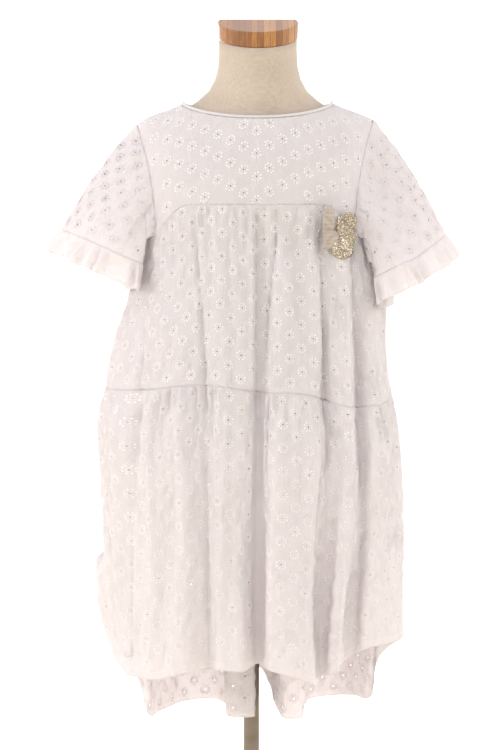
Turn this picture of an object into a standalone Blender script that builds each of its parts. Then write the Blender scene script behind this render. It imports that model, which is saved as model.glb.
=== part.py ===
"""A child's eyelet smock dress on a limbless dress form, in metres, +Z up, front towards -Y.

The origin is the middle of the base plate's underside, on the pole's axis. The cloth and the
torso are laid out in the dress's own frame, whose middle lies at DRESS_AT beside the pole.
Every cloth piece is an open surface with a Solidify wall, so neck, armholes, cuffs and hem are open.
"""
import math

import bmesh
import bpy
from mathutils import Vector

COLLECTION = "eyelet_smock_dress_on_form"

CLOTH = 0.0012  # wall of every cloth piece
SEAM = 0.0006  # between the middles of two sewn edges, so that their walls stay 0.3 mm apart
FACE = 0.0003  # between hard pieces that touch
DRESS_AT = Vector((0.0045, -0.020, 0.0))  # the dress's middle, seen from the pole

CHEST_Z = 0.855  # level of the underarm; the shoulders are rounded above it
BOXY, RING_POWER = 0.12, 2.4  # how far a ring is squarer than an ellipse, and as a power of its reach
SHOULDER_ROUND = 2.2  # power of the curve from the chest over the shoulder
RIDGE_AT, RIDGE_Z, RIDGE_SLOPE, RIDGE_X = 0.09, 1.021, 0.38, 0.004

# Rings of the body cloth: height, half width at -X, half width at +X, depth in front, depth behind.
RINGS = (
    (0.855, 0.148, 0.150, 0.092, 0.088),
    (0.790, 0.154, 0.163, 0.103, 0.095),
    (0.725, 0.173, 0.163, 0.109, 0.098),
    (0.665, 0.185, 0.169, 0.114, 0.101),
    (0.620, 0.194, 0.179, 0.119, 0.104),
    (0.560, 0.193, 0.184, 0.123, 0.106),
)

NECK_X, NECK_WIDTH, NECK_DIP, NECK_BACK_DIP = 0.003, 0.093, 0.021, 0.006
ARM_TOP_X, ARM_CORNER_X, ARM_CORNER_Z, UNDERARM_Z = 0.146, 0.120, 0.859, 0.846
ARM_CORNER_SHARE = 0.72  # share of half an armhole that lies on the yoke
YOKE_Z, YOKE_FLAT = 0.895, 0.079  # yoke seam, and half the width over which it is level
BACK_YOKE_Z = 0.905
SHOULDER_SEAM = 0.0005  # each yoke stops this short of the ridge, where the walls lean together
SEAM_STEPS = 22  # stations along the yoke seam

# Folds of the upper tier: angle at the yoke seam, angle at the tier seam, half width, depth.
FRONT_FOLDS = (
    (-47, -42, 5, -0.035),
    (-22, -17, 6, -0.030),
    (-11, -12, 5, 0.020),
    (3, 1, 4.5, -0.060),
    (11, 6, 5, 0.025),
    (31, 28, 4.5, -0.055),
    (40, 36, 4, 0.025),
    (49, 45, 5, -0.060),
    (60, 57, 5, 0.020),
)
BACK_FOLDS = (
    (-48, -50, 5, -0.040),
    (-30, -32, 5, -0.035),
    (-12, -12, 5, -0.055),
    (-2, -2, 5, 0.020),
    (12, 12, 5, -0.055),
    (31, 34, 5, -0.040),
    (50, 52, 5, -0.035),
)

# The hem's course: angle of the same thread at the tier seam, then x, y and height of the hem.
FRONT_HEM = (
    (-90, -0.189, 0.000, 0.371),
    (-72, -0.178, -0.045, 0.345),
    (-56, -0.158, -0.072, 0.322),
    (-45, -0.146, -0.079, 0.320),
    (-33, -0.118, -0.105, 0.322),
    (-24, -0.085, -0.119, 0.333),
    (-17, -0.054, -0.106, 0.336),
    (-12, -0.039, -0.124, 0.338),
    (-5, -0.015, -0.126, 0.337),
    (1, 0.003, -0.098, 0.340),
    (6, 0.018, -0.128, 0.338),
    (15, 0.046, -0.131, 0.331),
    (23, 0.070, -0.124, 0.321),
    (28, 0.079, -0.102, 0.325),
    (36, 0.096, -0.116, 0.333),
    (45, 0.111, -0.088, 0.345),
    (54, 0.132, -0.093, 0.356),
    (66, 0.158, -0.062, 0.356),
    (78, 0.178, -0.034, 0.354),
    (90, 0.187, 0.000, 0.353),
)
BACK_HEM = (
    (-90, -0.189, 0.000, 0.371),
    (-80, -0.154, 0.010, 0.314),
    (-70, -0.137, 0.006, 0.253),
    (-58, -0.118, 0.044, 0.249),
    (-46, -0.096, 0.084, 0.248),
    (-34, -0.072, 0.098, 0.248),
    (-24, -0.048, 0.094, 0.249),
    (-20, -0.037, 0.055, 0.250),
    (-16, -0.034, -0.001, 0.251),
    (-13, -0.016, -0.005, 0.250),
    (-11, 0.001, -0.003, 0.251),
    (-9, -0.010, 0.004, 0.254),
    (-7, -0.022, 0.012, 0.258),
    (-4, -0.024, 0.050, 0.270),
    (-1, -0.012, 0.094, 0.288),
    (4, 0.010, 0.086, 0.290),
    (8, 0.022, 0.034, 0.268),
    (12, 0.032, -0.002, 0.252),
    (16, 0.046, -0.004, 0.248),
    (20, 0.060, 0.000, 0.250),
    (24, 0.063, 0.040, 0.252),
    (30, 0.070, 0.088, 0.250),
    (42, 0.098, 0.094, 0.254),
    (58, 0.128, 0.064, 0.262),
    (74, 0.148, 0.022, 0.272),
    (82, 0.157, 0.014, 0.322),
    (90, 0.187, 0.000, 0.353),
)
# How far the inner fold beside the pole stands back to -X before it leans across, by angle.
LEAN = ((-16, 0.0), (-13.5, -0.014), (-11, -0.028), (-8.5, -0.014), (-6, 0.0))
FOLD_DEEP = (0.08, 0.66)  # share of the lower tier over which the back's inner folds deepen
FOLD_LEAN = (0.66, 0.84)  # share over which the fold beside the pole leans across it

# Sleeves: middle of the open end, arm from there to its outer point, arm to its front point.
SLEEVES = {
    "right": (-1, (-0.190, -0.002, 0.843), (-0.0485, 0.0, 0.0215), (0.019, -0.070, -0.004)),
    "left": (1, (0.186, -0.002, 0.832), (0.0500, 0.0, 0.0270), (-0.010, -0.071, -0.008)),
}
CUFF_CORNER = 0.45  # power that squares the open end where it hangs in front of the underarm
SLEEVE_SWELL = 0.007
SLEEVE_START, SLEEVE_CLEAR = 0.0044, 0.005  # least room beside the body near the armhole, and more below
FRILL_LENGTH, FRILL_WAVES, FRILL_DEPTH = 0.031, 14, 0.0042
FRILL_SEAM = 0.0016  # a frill has more stations than its sleeve, so their edges need more room

BINDING_WIDTH, BINDING_THICK = 0.0042, 0.0022

# The torso's rings: half width, depth in front, depth behind, height at side, front and back.
TORSO = (
    (0.0480, 0.048, 0.048, 1.1010, 1.0835, 1.1185),
    (0.0480, 0.048, 0.048, 1.0850, 1.0710, 1.0990),
    (0.0492, 0.049, 0.048, 1.0650, 1.0560, 1.0740),
    (0.0530, 0.051, 0.049, 1.0500, 1.0420, 1.0500),
    (0.0605, 0.053, 0.049, 1.0360, 1.0260, 1.0360),
    (0.0740, 0.053, 0.046, 1.0240, 1.0110, 1.0230),
    (0.0900, 0.056, 0.049, 1.0130, 0.9960, 1.0100),
    (0.1090, 0.064, 0.063, 1.0030, 0.9780, 0.9920),
    (0.1220, 0.071, 0.071, 0.9900, 0.9560, 0.9700),
    (0.1300, 0.077, 0.077, 0.9720, 0.9320, 0.9440),
    (0.1310, 0.081, 0.079, 0.9460, 0.9080, 0.9150),
    (0.1270, 0.083, 0.079, 0.9150, 0.8840, 0.8880),
    (0.1210, 0.083, 0.077, 0.8700, 0.8550, 0.8550),
    (0.1160, 0.079, 0.073, 0.8200, 0.8150, 0.8150),
    (0.1080, 0.073, 0.068, 0.7600, 0.7600, 0.7600),
    (0.1080, 0.073, 0.070, 0.7100, 0.7100, 0.7100),
    (0.1160, 0.078, 0.078, 0.6600, 0.6600, 0.6600),
    (0.1190, 0.080, 0.082, 0.6250, 0.6250, 0.6250),
    (0.1170, 0.078, 0.080, 0.6080, 0.6080, 0.6080),
    (0.1090, 0.071, 0.073, 0.6000, 0.6000, 0.6000),
)
TORSO_SIDES = 40
SHOULDER_TOP_Z = 1.008  # the neck rises above this
TORSO_EASE = 0.005
NECK_AT = 0.0035  # the neck stands this far to +X of the dress's middle

CAP_RADIUS, CAP_THICK, CAP_RIDGE, CAP_BEVEL = 0.0495, 0.0195, 0.013, 0.013
POLE_RADIUS = 0.010
BASE_RADIUS, BASE_THICK, BASE_HUB_RADIUS, BASE_HUB_HEIGHT = 0.150, 0.008, 0.022, 0.030

# Brooch: middle on the yoke seam, and the way that its front faces, turned about +Z.
BROOCH_AT, BROOCH_TURN, BROOCH_OUT = (0.100, 0.860), 0.50, 0.0045
WING_WALL, RIBBON_WALL = 0.0014, 0.0014
# The wing's outline from its pinch: direction in degrees, and reach.
WING_REACH = ((70, 0.013), (35, 0.027), (5, 0.023), (-30, 0.027), (-55, 0.038), (-75, 0.042), (-92, 0.026))


# Curves ------------------------------------------------------------------------------------

def smooth(share):
    share = min(max(share, 0.0), 1.0)
    return share * share * (3 - 2 * share)


def mix(a, b, share):
    return a + (b - a) * share


def through(rows, at):
    """The values of a table at one place, on a smooth curve through its rows."""
    keys = [row[0] for row in rows]
    at = min(max(at, min(keys[0], keys[-1])), max(keys[0], keys[-1]))
    last = len(rows) - 2
    k = next((i for i in range(last) if (at - keys[i + 1]) * (at - keys[i]) <= 0), last)
    before, start, end, after = (rows[min(max(k + step, 0), last + 1)] for step in (-1, 0, 1, 2))
    t = (at - start[0]) / (end[0] - start[0])
    values = []
    for column in range(1, len(start)):
        slopes = []
        for low, high in ((before, end), (start, after)):
            run = high[0] - low[0]
            slopes.append((high[column] - low[column]) / run * (end[0] - start[0]) if run else 0.0)
        a, b = start[column], end[column]
        cubic = 2 * t**3 - 3 * t**2
        values.append(a * (cubic + 1) + b * -cubic
                      + slopes[0] * (t**3 - 2 * t**2 + t) + slopes[1] * (t**3 - t**2))
    return values


def ring_angle(share):
    """The angle at which a ring is `share` of its half width from the middle."""
    s = share
    for _ in range(8):
        s -= (s * (1 + BOXY) - BOXY * s**3 - share) / (1 + BOXY - 3 * BOXY * s * s)
    return math.asin(min(max(s, -1.0), 1.0))


# The body's surface ------------------------------------------------------------------------

def ridge_height(x):
    off = abs(x - RIDGE_X)
    return RIDGE_Z - RIDGE_SLOPE * (off - RIDGE_AT) - 18 * max(0.0, off - 0.135) ** 2


def on_ring(face, angle, z, out=0.0):
    """A point of the body cloth. face is -1 in front and 1 behind, angle runs from side to side."""
    right, left, front, back = through(RINGS, z)
    s, c = math.sin(angle), math.cos(angle)
    half = left if s > 0 else right
    depth = front if face < 0 else back
    x = half * s * (1 + BOXY * c * c) * (1 + out)
    y = face * depth * c * (1 + BOXY * s * s) * (1 + out)
    if z > CHEST_Z:
        rise = (z - CHEST_Z) / (ridge_height(x) - CHEST_Z)
        y *= max(0.0, 1 - min(rise, 1.0) ** SHOULDER_ROUND) ** (1 / SHOULDER_ROUND)
    return Vector((x, y, z))


def angle_at(x, z):
    right, left, _, _ = through(RINGS, min(z, CHEST_Z))
    return ring_angle(min(max(x / (left if x > 0 else right), -1.0), 1.0))


def over_shoulder(face, x, slope):
    """A point above the chest by x and by slope, which is 0 on the shoulder's ridge."""
    rise = max(0.0, math.cos(slope)) ** (2 / SHOULDER_ROUND)
    z = CHEST_Z + rise * (ridge_height(x) - CHEST_Z)
    flat = on_ring(face, angle_at(x, CHEST_Z), CHEST_Z)
    return Vector((x, flat.y * math.sin(slope) ** (2 / SHOULDER_ROUND), z))


def slope_at(x, z):
    rise = min((z - CHEST_Z) / (ridge_height(x) - CHEST_Z), 1.0)
    return math.acos(rise ** (SHOULDER_ROUND / 2))


def neckline(face, turn):
    """x and height of the neckline; turn runs from -90 to 90 degrees across one face."""
    x = NECK_X + NECK_WIDTH * math.sin(turn)
    dip, power = (NECK_DIP, 1.2) if face < 0 else (NECK_BACK_DIP, 0.8)
    return x, ridge_height(RIDGE_X + NECK_WIDTH) - dip * max(0.0, math.cos(turn)) ** power


def armhole(side, share):
    """x and height along half an armhole, from the shoulder to the underarm."""
    if share <= ARM_CORNER_SHARE:
        t = share / ARM_CORNER_SHARE
        x = ARM_CORNER_X + (ARM_TOP_X - ARM_CORNER_X) * (1 - t) ** 2
        top = ridge_height(side * ARM_TOP_X)
        return side * x, mix(top, ARM_CORNER_Z, t)
    t = (share - ARM_CORNER_SHARE) / (1 - ARM_CORNER_SHARE)
    start = abs(angle_at(side * ARM_CORNER_X, CHEST_Z))
    angle = mix(start, math.pi / 2, t)
    z = UNDERARM_Z + (ARM_CORNER_Z - UNDERARM_Z) * (1 - t) ** 2
    return on_ring(-1, side * angle, z).x, z


def armhole_point(side, face, share):
    x, z = armhole(side, share)
    if share <= ARM_CORNER_SHARE:
        return over_shoulder(face, x, slope_at(x, z))
    return on_ring(face, angle_at(x, z), z)


def yoke_seam_z(face, x):
    level = YOKE_Z if face < 0 else BACK_YOKE_Z
    past = max(0.0, (abs(x) - YOKE_FLAT) / (ARM_CORNER_X - YOKE_FLAT))
    return level - (level - ARM_CORNER_Z) * past**1.7


def tier_seam_z(face, angle):
    if face > 0:
        return 0.668 - 0.004 * math.cos(2 * angle)
    table = ((-90, 0.668), (-42, 0.673), (-17, 0.680), (1, 0.672), (15, 0.670), (28, 0.662),
             (36, 0.653), (50, 0.652), (90, 0.660))
    return through(table, math.degrees(angle))[0]


def fold_out(face, angle, share):
    """How far the upper tier's folds stand out, as a share of the ring."""
    total = 0.0
    for start, end, width, depth in FRONT_FOLDS if face < 0 else BACK_FOLDS:
        off = (math.degrees(angle) - mix(start, end, share)) / width
        total += depth * math.exp(-off * off)
    return total * smooth(0.15 + 0.85 * share)


def top_edge(face, angle):
    """The upper tier's top edge: under the armholes and along the yoke seam."""
    corner = abs(angle_at(math.copysign(ARM_CORNER_X, angle), CHEST_Z))
    if abs(angle) > corner:
        t = (abs(angle) - corner) / (math.pi / 2 - corner)
        return UNDERARM_Z + (ARM_CORNER_Z - UNDERARM_Z) * (1 - t) ** 2
    return yoke_seam_z(face, on_ring(face, angle, CHEST_Z).x)


def upper_tier(face, angle, share):
    """share runs from the top edge, 0, to the tier seam, 1."""
    z = mix(top_edge(face, angle) - SEAM, tier_seam_z(face, angle), share)
    puff = 0.012 * math.exp(-(((share - 0.07) / 0.06) ** 2)) * math.cos(angle)
    return on_ring(face, angle, z, fold_out(face, angle, share) + puff)


def lower_tier(face, angle, share):
    """angle is measured at the tier seam; share runs from the seam, 0, to the hem, 1."""
    start = upper_tier(face, angle, 1.0)
    start.z -= SEAM
    table = FRONT_HEM if face < 0 else BACK_HEM
    hem = Vector(through(table, math.degrees(angle)))
    z = mix(start.z, hem.z, share)
    wide = on_ring(face, angle, z, fold_out(face, angle, 1.0))
    drawn = smooth((share - 0.05) / 0.95) if face < 0 else smooth((share - 0.25) / 0.72)
    point = Vector((mix(wide.x, hem.x, drawn), mix(wide.y, hem.y, drawn), z))
    if face > 0:
        inner = smooth((share - FOLD_DEEP[0]) / (FOLD_DEEP[1] - FOLD_DEEP[0]))
        held = smooth(1 - (abs(math.degrees(angle) - 2) - 24) / 8)
        point.y = mix(point.y, mix(wide.y, hem.y, inner), held)
        point.x = mix(point.x, mix(wide.x, hem.x, inner), held)
        across = 1 - smooth((share - FOLD_LEAN[0]) / (FOLD_LEAN[1] - FOLD_LEAN[0]))
        degrees = math.degrees(angle)
        point.x += through(LEAN, degrees)[0] * across * inner
    return point


def clear_of_body(point, room):
    """Moves a point out from the middle until it is `room` outside the body cloth."""
    right, left, front, back = through(RINGS, min(point.z, CHEST_Z))
    half = (left if point.x > 0 else right) + room
    depth = (front if point.y < 0 else back) + room
    if abs(point.x) >= half:
        return
    if point.z > CHEST_Z:
        rise = min((point.z - CHEST_Z) / (ridge_height(point.x) - CHEST_Z), 0.99)
        depth *= (1 - rise**SHOULDER_ROUND) ** (1 / SHOULDER_ROUND)
    reach = ((abs(point.x) / half) ** RING_POWER + (abs(point.y) / depth) ** RING_POWER) ** (1 / RING_POWER)
    if reach < 1:
        point.x /= reach
        point.y /= reach


def sleeve_point(name, turn, share):
    """turn is 0 at the shoulder, a quarter in front and a half under the arm; share runs outward."""
    side, middle, outer, front = SLEEVES[name]
    half_turn = turn if turn <= 0.5 else 1 - turn
    face = -1 if turn <= 0.5 else 1
    start = armhole_point(side, face, half_turn * 2)
    angle = 2 * math.pi * turn
    across, ahead = math.cos(angle), math.sin(angle)
    if across < 0 < ahead:
        across, ahead = -(-across) ** CUFF_CORNER, ahead**CUFF_CORNER
    end = Vector(middle) + Vector(outer) * across + Vector(front) * ahead
    under = (1 - math.cos(angle)) / 2
    start += Vector((side * (0.0008 + 0.0012 * under), 0.0, 0.0006 * (1 - under)))
    point = start.lerp(end, share)
    swell = SLEEVE_SWELL * math.sin(math.pi * share)
    point += Vector((side * 0.6, 0.0, 0.8)) * swell * (0.5 + 0.5 * math.cos(angle))
    if name == "left":
        off = (turn - mix(0.12, 0.17, share)) / 0.045
        point -= Vector((side * 0.5, -0.6, 0.6)) * 0.012 * math.exp(-off * off) * smooth(share * 4)
    if point.z < CHEST_Z + 0.03:
        clear_of_body(point, SLEEVE_START * smooth(share * 12) + SLEEVE_CLEAR * smooth(share * 5))
    return point


def frill_point(name, turn, share):
    side = SLEEVES[name][0]
    edge = sleeve_point(name, turn, 1.0)
    along = edge - sleeve_point(name, turn, 0.8)
    along = (along.normalized() + Vector((0, 0, -0.35))).normalized()
    ahead = sleeve_point(name, (turn + 0.01) % 1, 1.0) - edge
    out = along.cross(ahead).normalized() * -side
    wave = math.sin(2 * math.pi * FRILL_WAVES * turn) * FRILL_DEPTH * share
    point = edge + along * (FRILL_SEAM + FRILL_LENGTH * share) + out * (wave + 0.004 * share)
    clear_of_body(point, SLEEVE_START + SLEEVE_CLEAR)
    return point


# Making meshes -------------------------------------------------------------------------------

def material(name, colour, roughness, metallic=0.0):
    made = bpy.data.materials.new(name)
    made.use_nodes = True
    shader = made.node_tree.nodes["Principled BSDF"]
    shader.inputs["Base Color"].default_value = (*colour, 1.0)
    shader.inputs["Roughness"].default_value = roughness
    shader.inputs["Metallic"].default_value = metallic
    made.diffuse_color = (*colour, 1.0)
    return made


def place(name, mesh, finish, collection):
    piece = bpy.data.objects.new(name, mesh)
    piece.data.materials.append(finish)
    collection.objects.link(piece)
    return piece


def sheet(name, rows, finish, collection, closed=False, wall=CLOTH, shift=DRESS_AT, flip=False):
    """An open surface through rows of points, given its wall by Solidify."""
    build = bmesh.new()
    grid = [[build.verts.new(point + shift) for point in row] for row in rows]
    count = len(rows[0])
    for upper, lower in zip(grid, grid[1:]):
        for i in range(count if closed else count - 1):
            k = (i + 1) % count
            corners = (upper[i], lower[i], lower[k], upper[k])
            build.faces.new(corners[::-1] if flip else corners)
    mesh = bpy.data.meshes.new(name)
    build.to_mesh(mesh)
    build.free()
    mesh.shade_smooth()
    piece = place(name, mesh, finish, collection)
    thick = piece.modifiers.new("wall", "SOLIDIFY")
    thick.thickness = wall
    thick.offset = 0.0
    return piece


def closed_rings(name, rings, finish, collection, shift=DRESS_AT, loop=False):
    """A closed body through rings of points, with flat ends, or joined end to end as a loop."""
    build = bmesh.new()
    grid = [[build.verts.new(point + shift) for point in ring] for ring in rings]
    pairs = list(zip(grid, grid[1:])) + ([(grid[-1], grid[0])] if loop else [])
    for upper, lower in pairs:
        for i in range(len(upper)):
            k = (i + 1) % len(upper)
            build.faces.new((upper[i], lower[i], lower[k], upper[k]))
    if not loop:
        build.faces.new(grid[0])
        build.faces.new(grid[-1][::-1])
    bmesh.ops.recalc_face_normals(build, faces=build.faces)
    mesh = bpy.data.meshes.new(name)
    build.to_mesh(mesh)
    build.free()
    mesh.shade_smooth()
    mesh.set_sharp_from_angle(angle=math.radians(40))
    return place(name, mesh, finish, collection)


# Dress pieces ---------------------------------------------------------------------------------

def seam_angles():
    """Angles of the stations that a yoke and an upper tier share along their seam."""
    ends = [angle_at(side * ARM_CORNER_X, CHEST_Z) for side in (-1, 1)]
    return [mix(*ends, i / SEAM_STEPS) for i in range(SEAM_STEPS + 1)]


def make_yoke(face, finish, collection):
    """A column for each station along the outer edge: up one armhole, the seam, the other armhole."""
    arm_steps, rows = 5, 5
    columns = []
    for i in range(arm_steps):
        share = ARM_CORNER_SHARE * i / arm_steps
        columns.append((-1.0 + 0.45 * i / arm_steps, armhole(-1, share)))
    for i, angle in enumerate(seam_angles()):
        x = on_ring(face, angle, CHEST_Z).x
        columns.append((mix(-0.55, 0.55, i / SEAM_STEPS), (x, yoke_seam_z(face, x))))
    for i in range(arm_steps - 1, -1, -1):
        share = ARM_CORNER_SHARE * i / arm_steps
        columns.append((1.0 - 0.45 * i / arm_steps, armhole(1, share)))
    grid = []
    for row in range(rows + 1):
        t = 0.012 + 0.988 * row / rows
        line = []
        for turn, (edge_x, edge_z) in columns:
            neck_x, neck_z = neckline(face, turn * math.pi / 2)
            slope = mix(slope_at(neck_x, neck_z), slope_at(edge_x, edge_z), t)
            point = over_shoulder(face, mix(neck_x, edge_x, t), slope)
            if abs(turn) == 1.0:
                point.y += face * SHOULDER_SEAM
            line.append(point)
        grid.append(line)
    name = "yoke_front" if face < 0 else "yoke_back"
    return sheet(name, grid, finish, collection, flip=face > 0)


def make_binding(finish, collection):
    """A flat rolled band that stands on the yoke's top edge, all round the neck."""
    rings = []
    count = 48
    for i in range(count):
        turn = 2 * math.pi * i / count
        face = -1 if math.cos(turn) >= 0 else 1
        across = math.asin(math.sin(turn))
        x, z = neckline(face, across)
        middle = over_shoulder(face, x, slope_at(x, z))
        inward = Vector((-x, -middle.y, 0.0)).normalized()
        up = (inward * 0.55 + Vector((0, 0, 0.83))).normalized()
        out = (inward * -0.83 + Vector((0, 0, 0.55))).normalized()
        middle += up * (BINDING_WIDTH / 2 + 0.0001) + out * 0.0002
        ring = []
        for corner in range(6):
            angle = 2 * math.pi * (corner + 0.5) / 6
            ring.append(middle + up * math.sin(angle) * BINDING_WIDTH / 2
                        + out * math.cos(angle) * BINDING_THICK / 2)
        rings.append(ring)
    return closed_rings("neck_binding", rings, finish, collection, loop=True)


def make_upper_tier(face, finish, collection):
    rows, arm_steps = 6, 8
    edge = math.pi / 2 - SEAM / 2 / 0.09
    seam = seam_angles()
    angles = [mix(-edge, seam[0], i / arm_steps) for i in range(arm_steps)] + seam
    angles += [mix(seam[-1], edge, (i + 1) / arm_steps) for i in range(arm_steps)]
    shares = [(i / rows) ** 1.15 for i in range(rows + 1)]
    grid = [[upper_tier(face, angle, t) for angle in angles] for t in shares]
    name = "tier1_front" if face < 0 else "tier1_back"
    return sheet(name, grid, finish, collection, flip=face > 0)


def make_lower_tier(face, finish, collection):
    """Two columns of cloth to each stretch between the hem's points."""
    rows = 7 if face < 0 else 8
    keys = [row[0] for row in (FRONT_HEM if face < 0 else BACK_HEM)]
    degrees = sorted(keys + [(a + b) / 2 for a, b in zip(keys, keys[1:])])
    inset = 1 - SEAM / 2 / 0.10 / (math.pi / 2)
    grid = [[lower_tier(face, math.radians(turn) * inset, row / rows) for turn in degrees]
            for row in range(rows + 1)]
    name = "tier2_front" if face < 0 else "tier2_back"
    return sheet(name, grid, finish, collection, flip=face > 0)


def make_sleeve(name, finish, frill_finish, collection):
    columns, rows, frill_columns = 24, 5, 56
    flip = name == "left"
    grid = [[sleeve_point(name, i / columns, row / rows) for i in range(columns)]
            for row in range(rows + 1)]
    sheet("sleeve_" + name, grid, finish, collection, closed=True, flip=flip)
    grid = [[frill_point(name, i / frill_columns, share) for i in range(frill_columns)]
            for share in (0.0, 1.0)]
    sheet("frill_" + name, grid, frill_finish, collection, closed=True, flip=flip)


# Brooch ---------------------------------------------------------------------------------------

def brooch_point(across, up, out):
    x, z = BROOCH_AT
    base = on_ring(-1, angle_at(x, z), z)
    facing = Vector((math.sin(BROOCH_TURN), -math.cos(BROOCH_TURN), 0.0))
    side = Vector((math.cos(BROOCH_TURN), math.sin(BROOCH_TURN), 0.0))
    return base + side * across + Vector((0, 0, up)) + facing * (BROOCH_OUT + out)


def make_brooch(glitter, ribbon, collection):
    rows = []
    for ring in range(5):
        row = []
        for i in range(19):
            degrees = mix(WING_REACH[0][0], WING_REACH[-1][0], i / 18)
            angle = math.radians(degrees)
            length = mix(0.003, through(WING_REACH, degrees)[0], ring / 4)
            pleat = 0.0012 * math.sin(math.radians(degrees * 9)) * ring / 4
            lift = 0.001 + 0.003 * ring / 4 + pleat
            row.append(brooch_point(length * math.cos(angle), 0.010 + length * math.sin(angle), lift))
        rows.append(row)
    sheet("brooch_wing", rows, glitter, collection, wall=WING_WALL)
    rows = []
    for k in range(5):
        row = []
        for i in range(13):
            v = i / 12
            lobe = abs(math.sin(math.pi * (v * 1.9 + 0.05))) ** 0.7
            across = mix(-0.0205, -0.0065, k / 4) + 0.006 * smooth((v - 0.5) / 0.3) * k / 4
            crown = math.sin(math.pi * k / 4)
            row.append(brooch_point(across, mix(0.034, -0.013, v), 0.0065 + 0.006 * lobe * (0.4 + crown)))
        rows.append(row)
    sheet("brooch_ribbon", rows, ribbon, collection, wall=RIBBON_WALL)
    rings = []
    for k in range(7):
        size = 0.0008 + 0.0020 * math.sin(math.pi * k / 6)
        ring = []
        for i in range(10):
            angle = 2 * math.pi * i / 10
            ring.append(brooch_point(size * math.cos(angle), mix(0.002, 0.020, k / 6),
                                     0.0065 + size * math.sin(angle)))
        rings.append(ring)
    closed_rings("brooch_pinch", rings, glitter, collection)


# Dress form -----------------------------------------------------------------------------------

def under_cloth(point):
    """Keeps a point of the torso below the neck at least TORSO_EASE inside the body cloth."""
    if CHEST_Z < point.z < SHOULDER_TOP_Z:
        face = 1 if point.y > 0 else -1
        room = abs(on_ring(face, angle_at(point.x, point.z), point.z).y) - TORSO_EASE
        point.y = face * min(abs(point.y), max(room, 0.0005))
    return point


def make_torso(finish, collection):
    rings = []
    for half, front, back, side_z, front_z, back_z in TORSO:
        lean = NECK_AT * smooth((side_z - 0.90) / 0.12)
        ring = []
        for i in range(TORSO_SIDES):
            angle = 2 * math.pi * i / TORSO_SIDES
            s, c = math.sin(angle), math.cos(angle)
            depth, z = (front, front_z) if c > 0 else (back, back_z)
            boxy = BOXY * smooth((half - 0.09) / 0.02)
            x = lean + half * s * (1 + boxy * c * c)
            y = -depth * c * (1 + boxy * s * s)
            slant = abs(c) if back_z > side_z else c * c
            ring.append(under_cloth(Vector((x, y, mix(side_z, z, slant)))))
        rings.append(ring)
    return closed_rings("form_torso", rings, finish, collection)


def make_cap(finish, collection):
    """A round wooden cap that covers the slanted neck, planed down behind a straight ridge."""
    top = TORSO[0]
    middle_z = (top[4] + top[5]) / 2
    neck_tilt = math.atan2(top[5] - top[4], top[1] + top[2])
    build = bmesh.new()
    bmesh.ops.create_cone(build, cap_ends=True, segments=48, radius1=CAP_RADIUS - 0.0005,
                          radius2=CAP_RADIUS, depth=CAP_THICK)
    bmesh.ops.translate(build, verts=build.verts, vec=(0, 0, CAP_THICK / 2))
    bmesh.ops.bisect_plane(
        build, geom=build.verts[:] + build.edges[:] + build.faces[:],
        plane_co=(0, CAP_RIDGE, CAP_THICK), plane_no=(0, CAP_BEVEL, CAP_RADIUS - CAP_RIDGE),
        clear_outer=True)
    rim = [edge for edge in build.edges if edge.is_boundary]
    bmesh.ops.holes_fill(build, edges=rim)
    bmesh.ops.recalc_face_normals(build, faces=build.faces)
    mesh = bpy.data.meshes.new("form_cap")
    build.to_mesh(mesh)
    build.free()
    cap = place("form_cap", mesh, finish, collection)
    cap.rotation_euler.x = neck_tilt
    away = Vector((0, -math.sin(neck_tilt), math.cos(neck_tilt))) * FACE
    cap.location = DRESS_AT + Vector((NECK_AT, 0.0, middle_z)) + away
    edge = cap.modifiers.new("edge", "BEVEL")
    edge.width = 0.0015
    edge.segments = 2
    edge.angle_limit = math.radians(25)
    return cap


def turned(name, profile, finish, collection, sides=48):
    """A turned piece: its profile runs down the outer side, from the axis to the axis."""
    mesh = bpy.data.meshes.new(name)
    mesh.from_pydata([(x, 0, z) for x, z in profile],
                     [(i, i + 1) for i in range(len(profile) - 1)], [])
    piece = place(name, mesh, finish, collection)
    spin = piece.modifiers.new("turn", "SCREW")
    spin.steps = spin.render_steps = sides
    spin.use_merge_vertices = True
    spin.merge_threshold = 0.0001
    return piece


def make_stand(finish, collection):
    hub_top = BASE_THICK + BASE_HUB_HEIGHT
    turned("form_base", [(0, hub_top), (BASE_HUB_RADIUS - 0.002, hub_top),
                         (BASE_HUB_RADIUS, hub_top - 0.002), (BASE_HUB_RADIUS, BASE_THICK),
                         (BASE_RADIUS - 0.002, BASE_THICK), (BASE_RADIUS, BASE_THICK - 0.002),
                         (BASE_RADIUS, 0), (0, 0)], finish, collection)
    pole_top = TORSO[-1][3] - FACE
    turned("form_pole", [(0, pole_top), (POLE_RADIUS, pole_top), (POLE_RADIUS, hub_top + FACE),
                         (0, hub_top + FACE)], finish, collection, sides=24)


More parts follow.
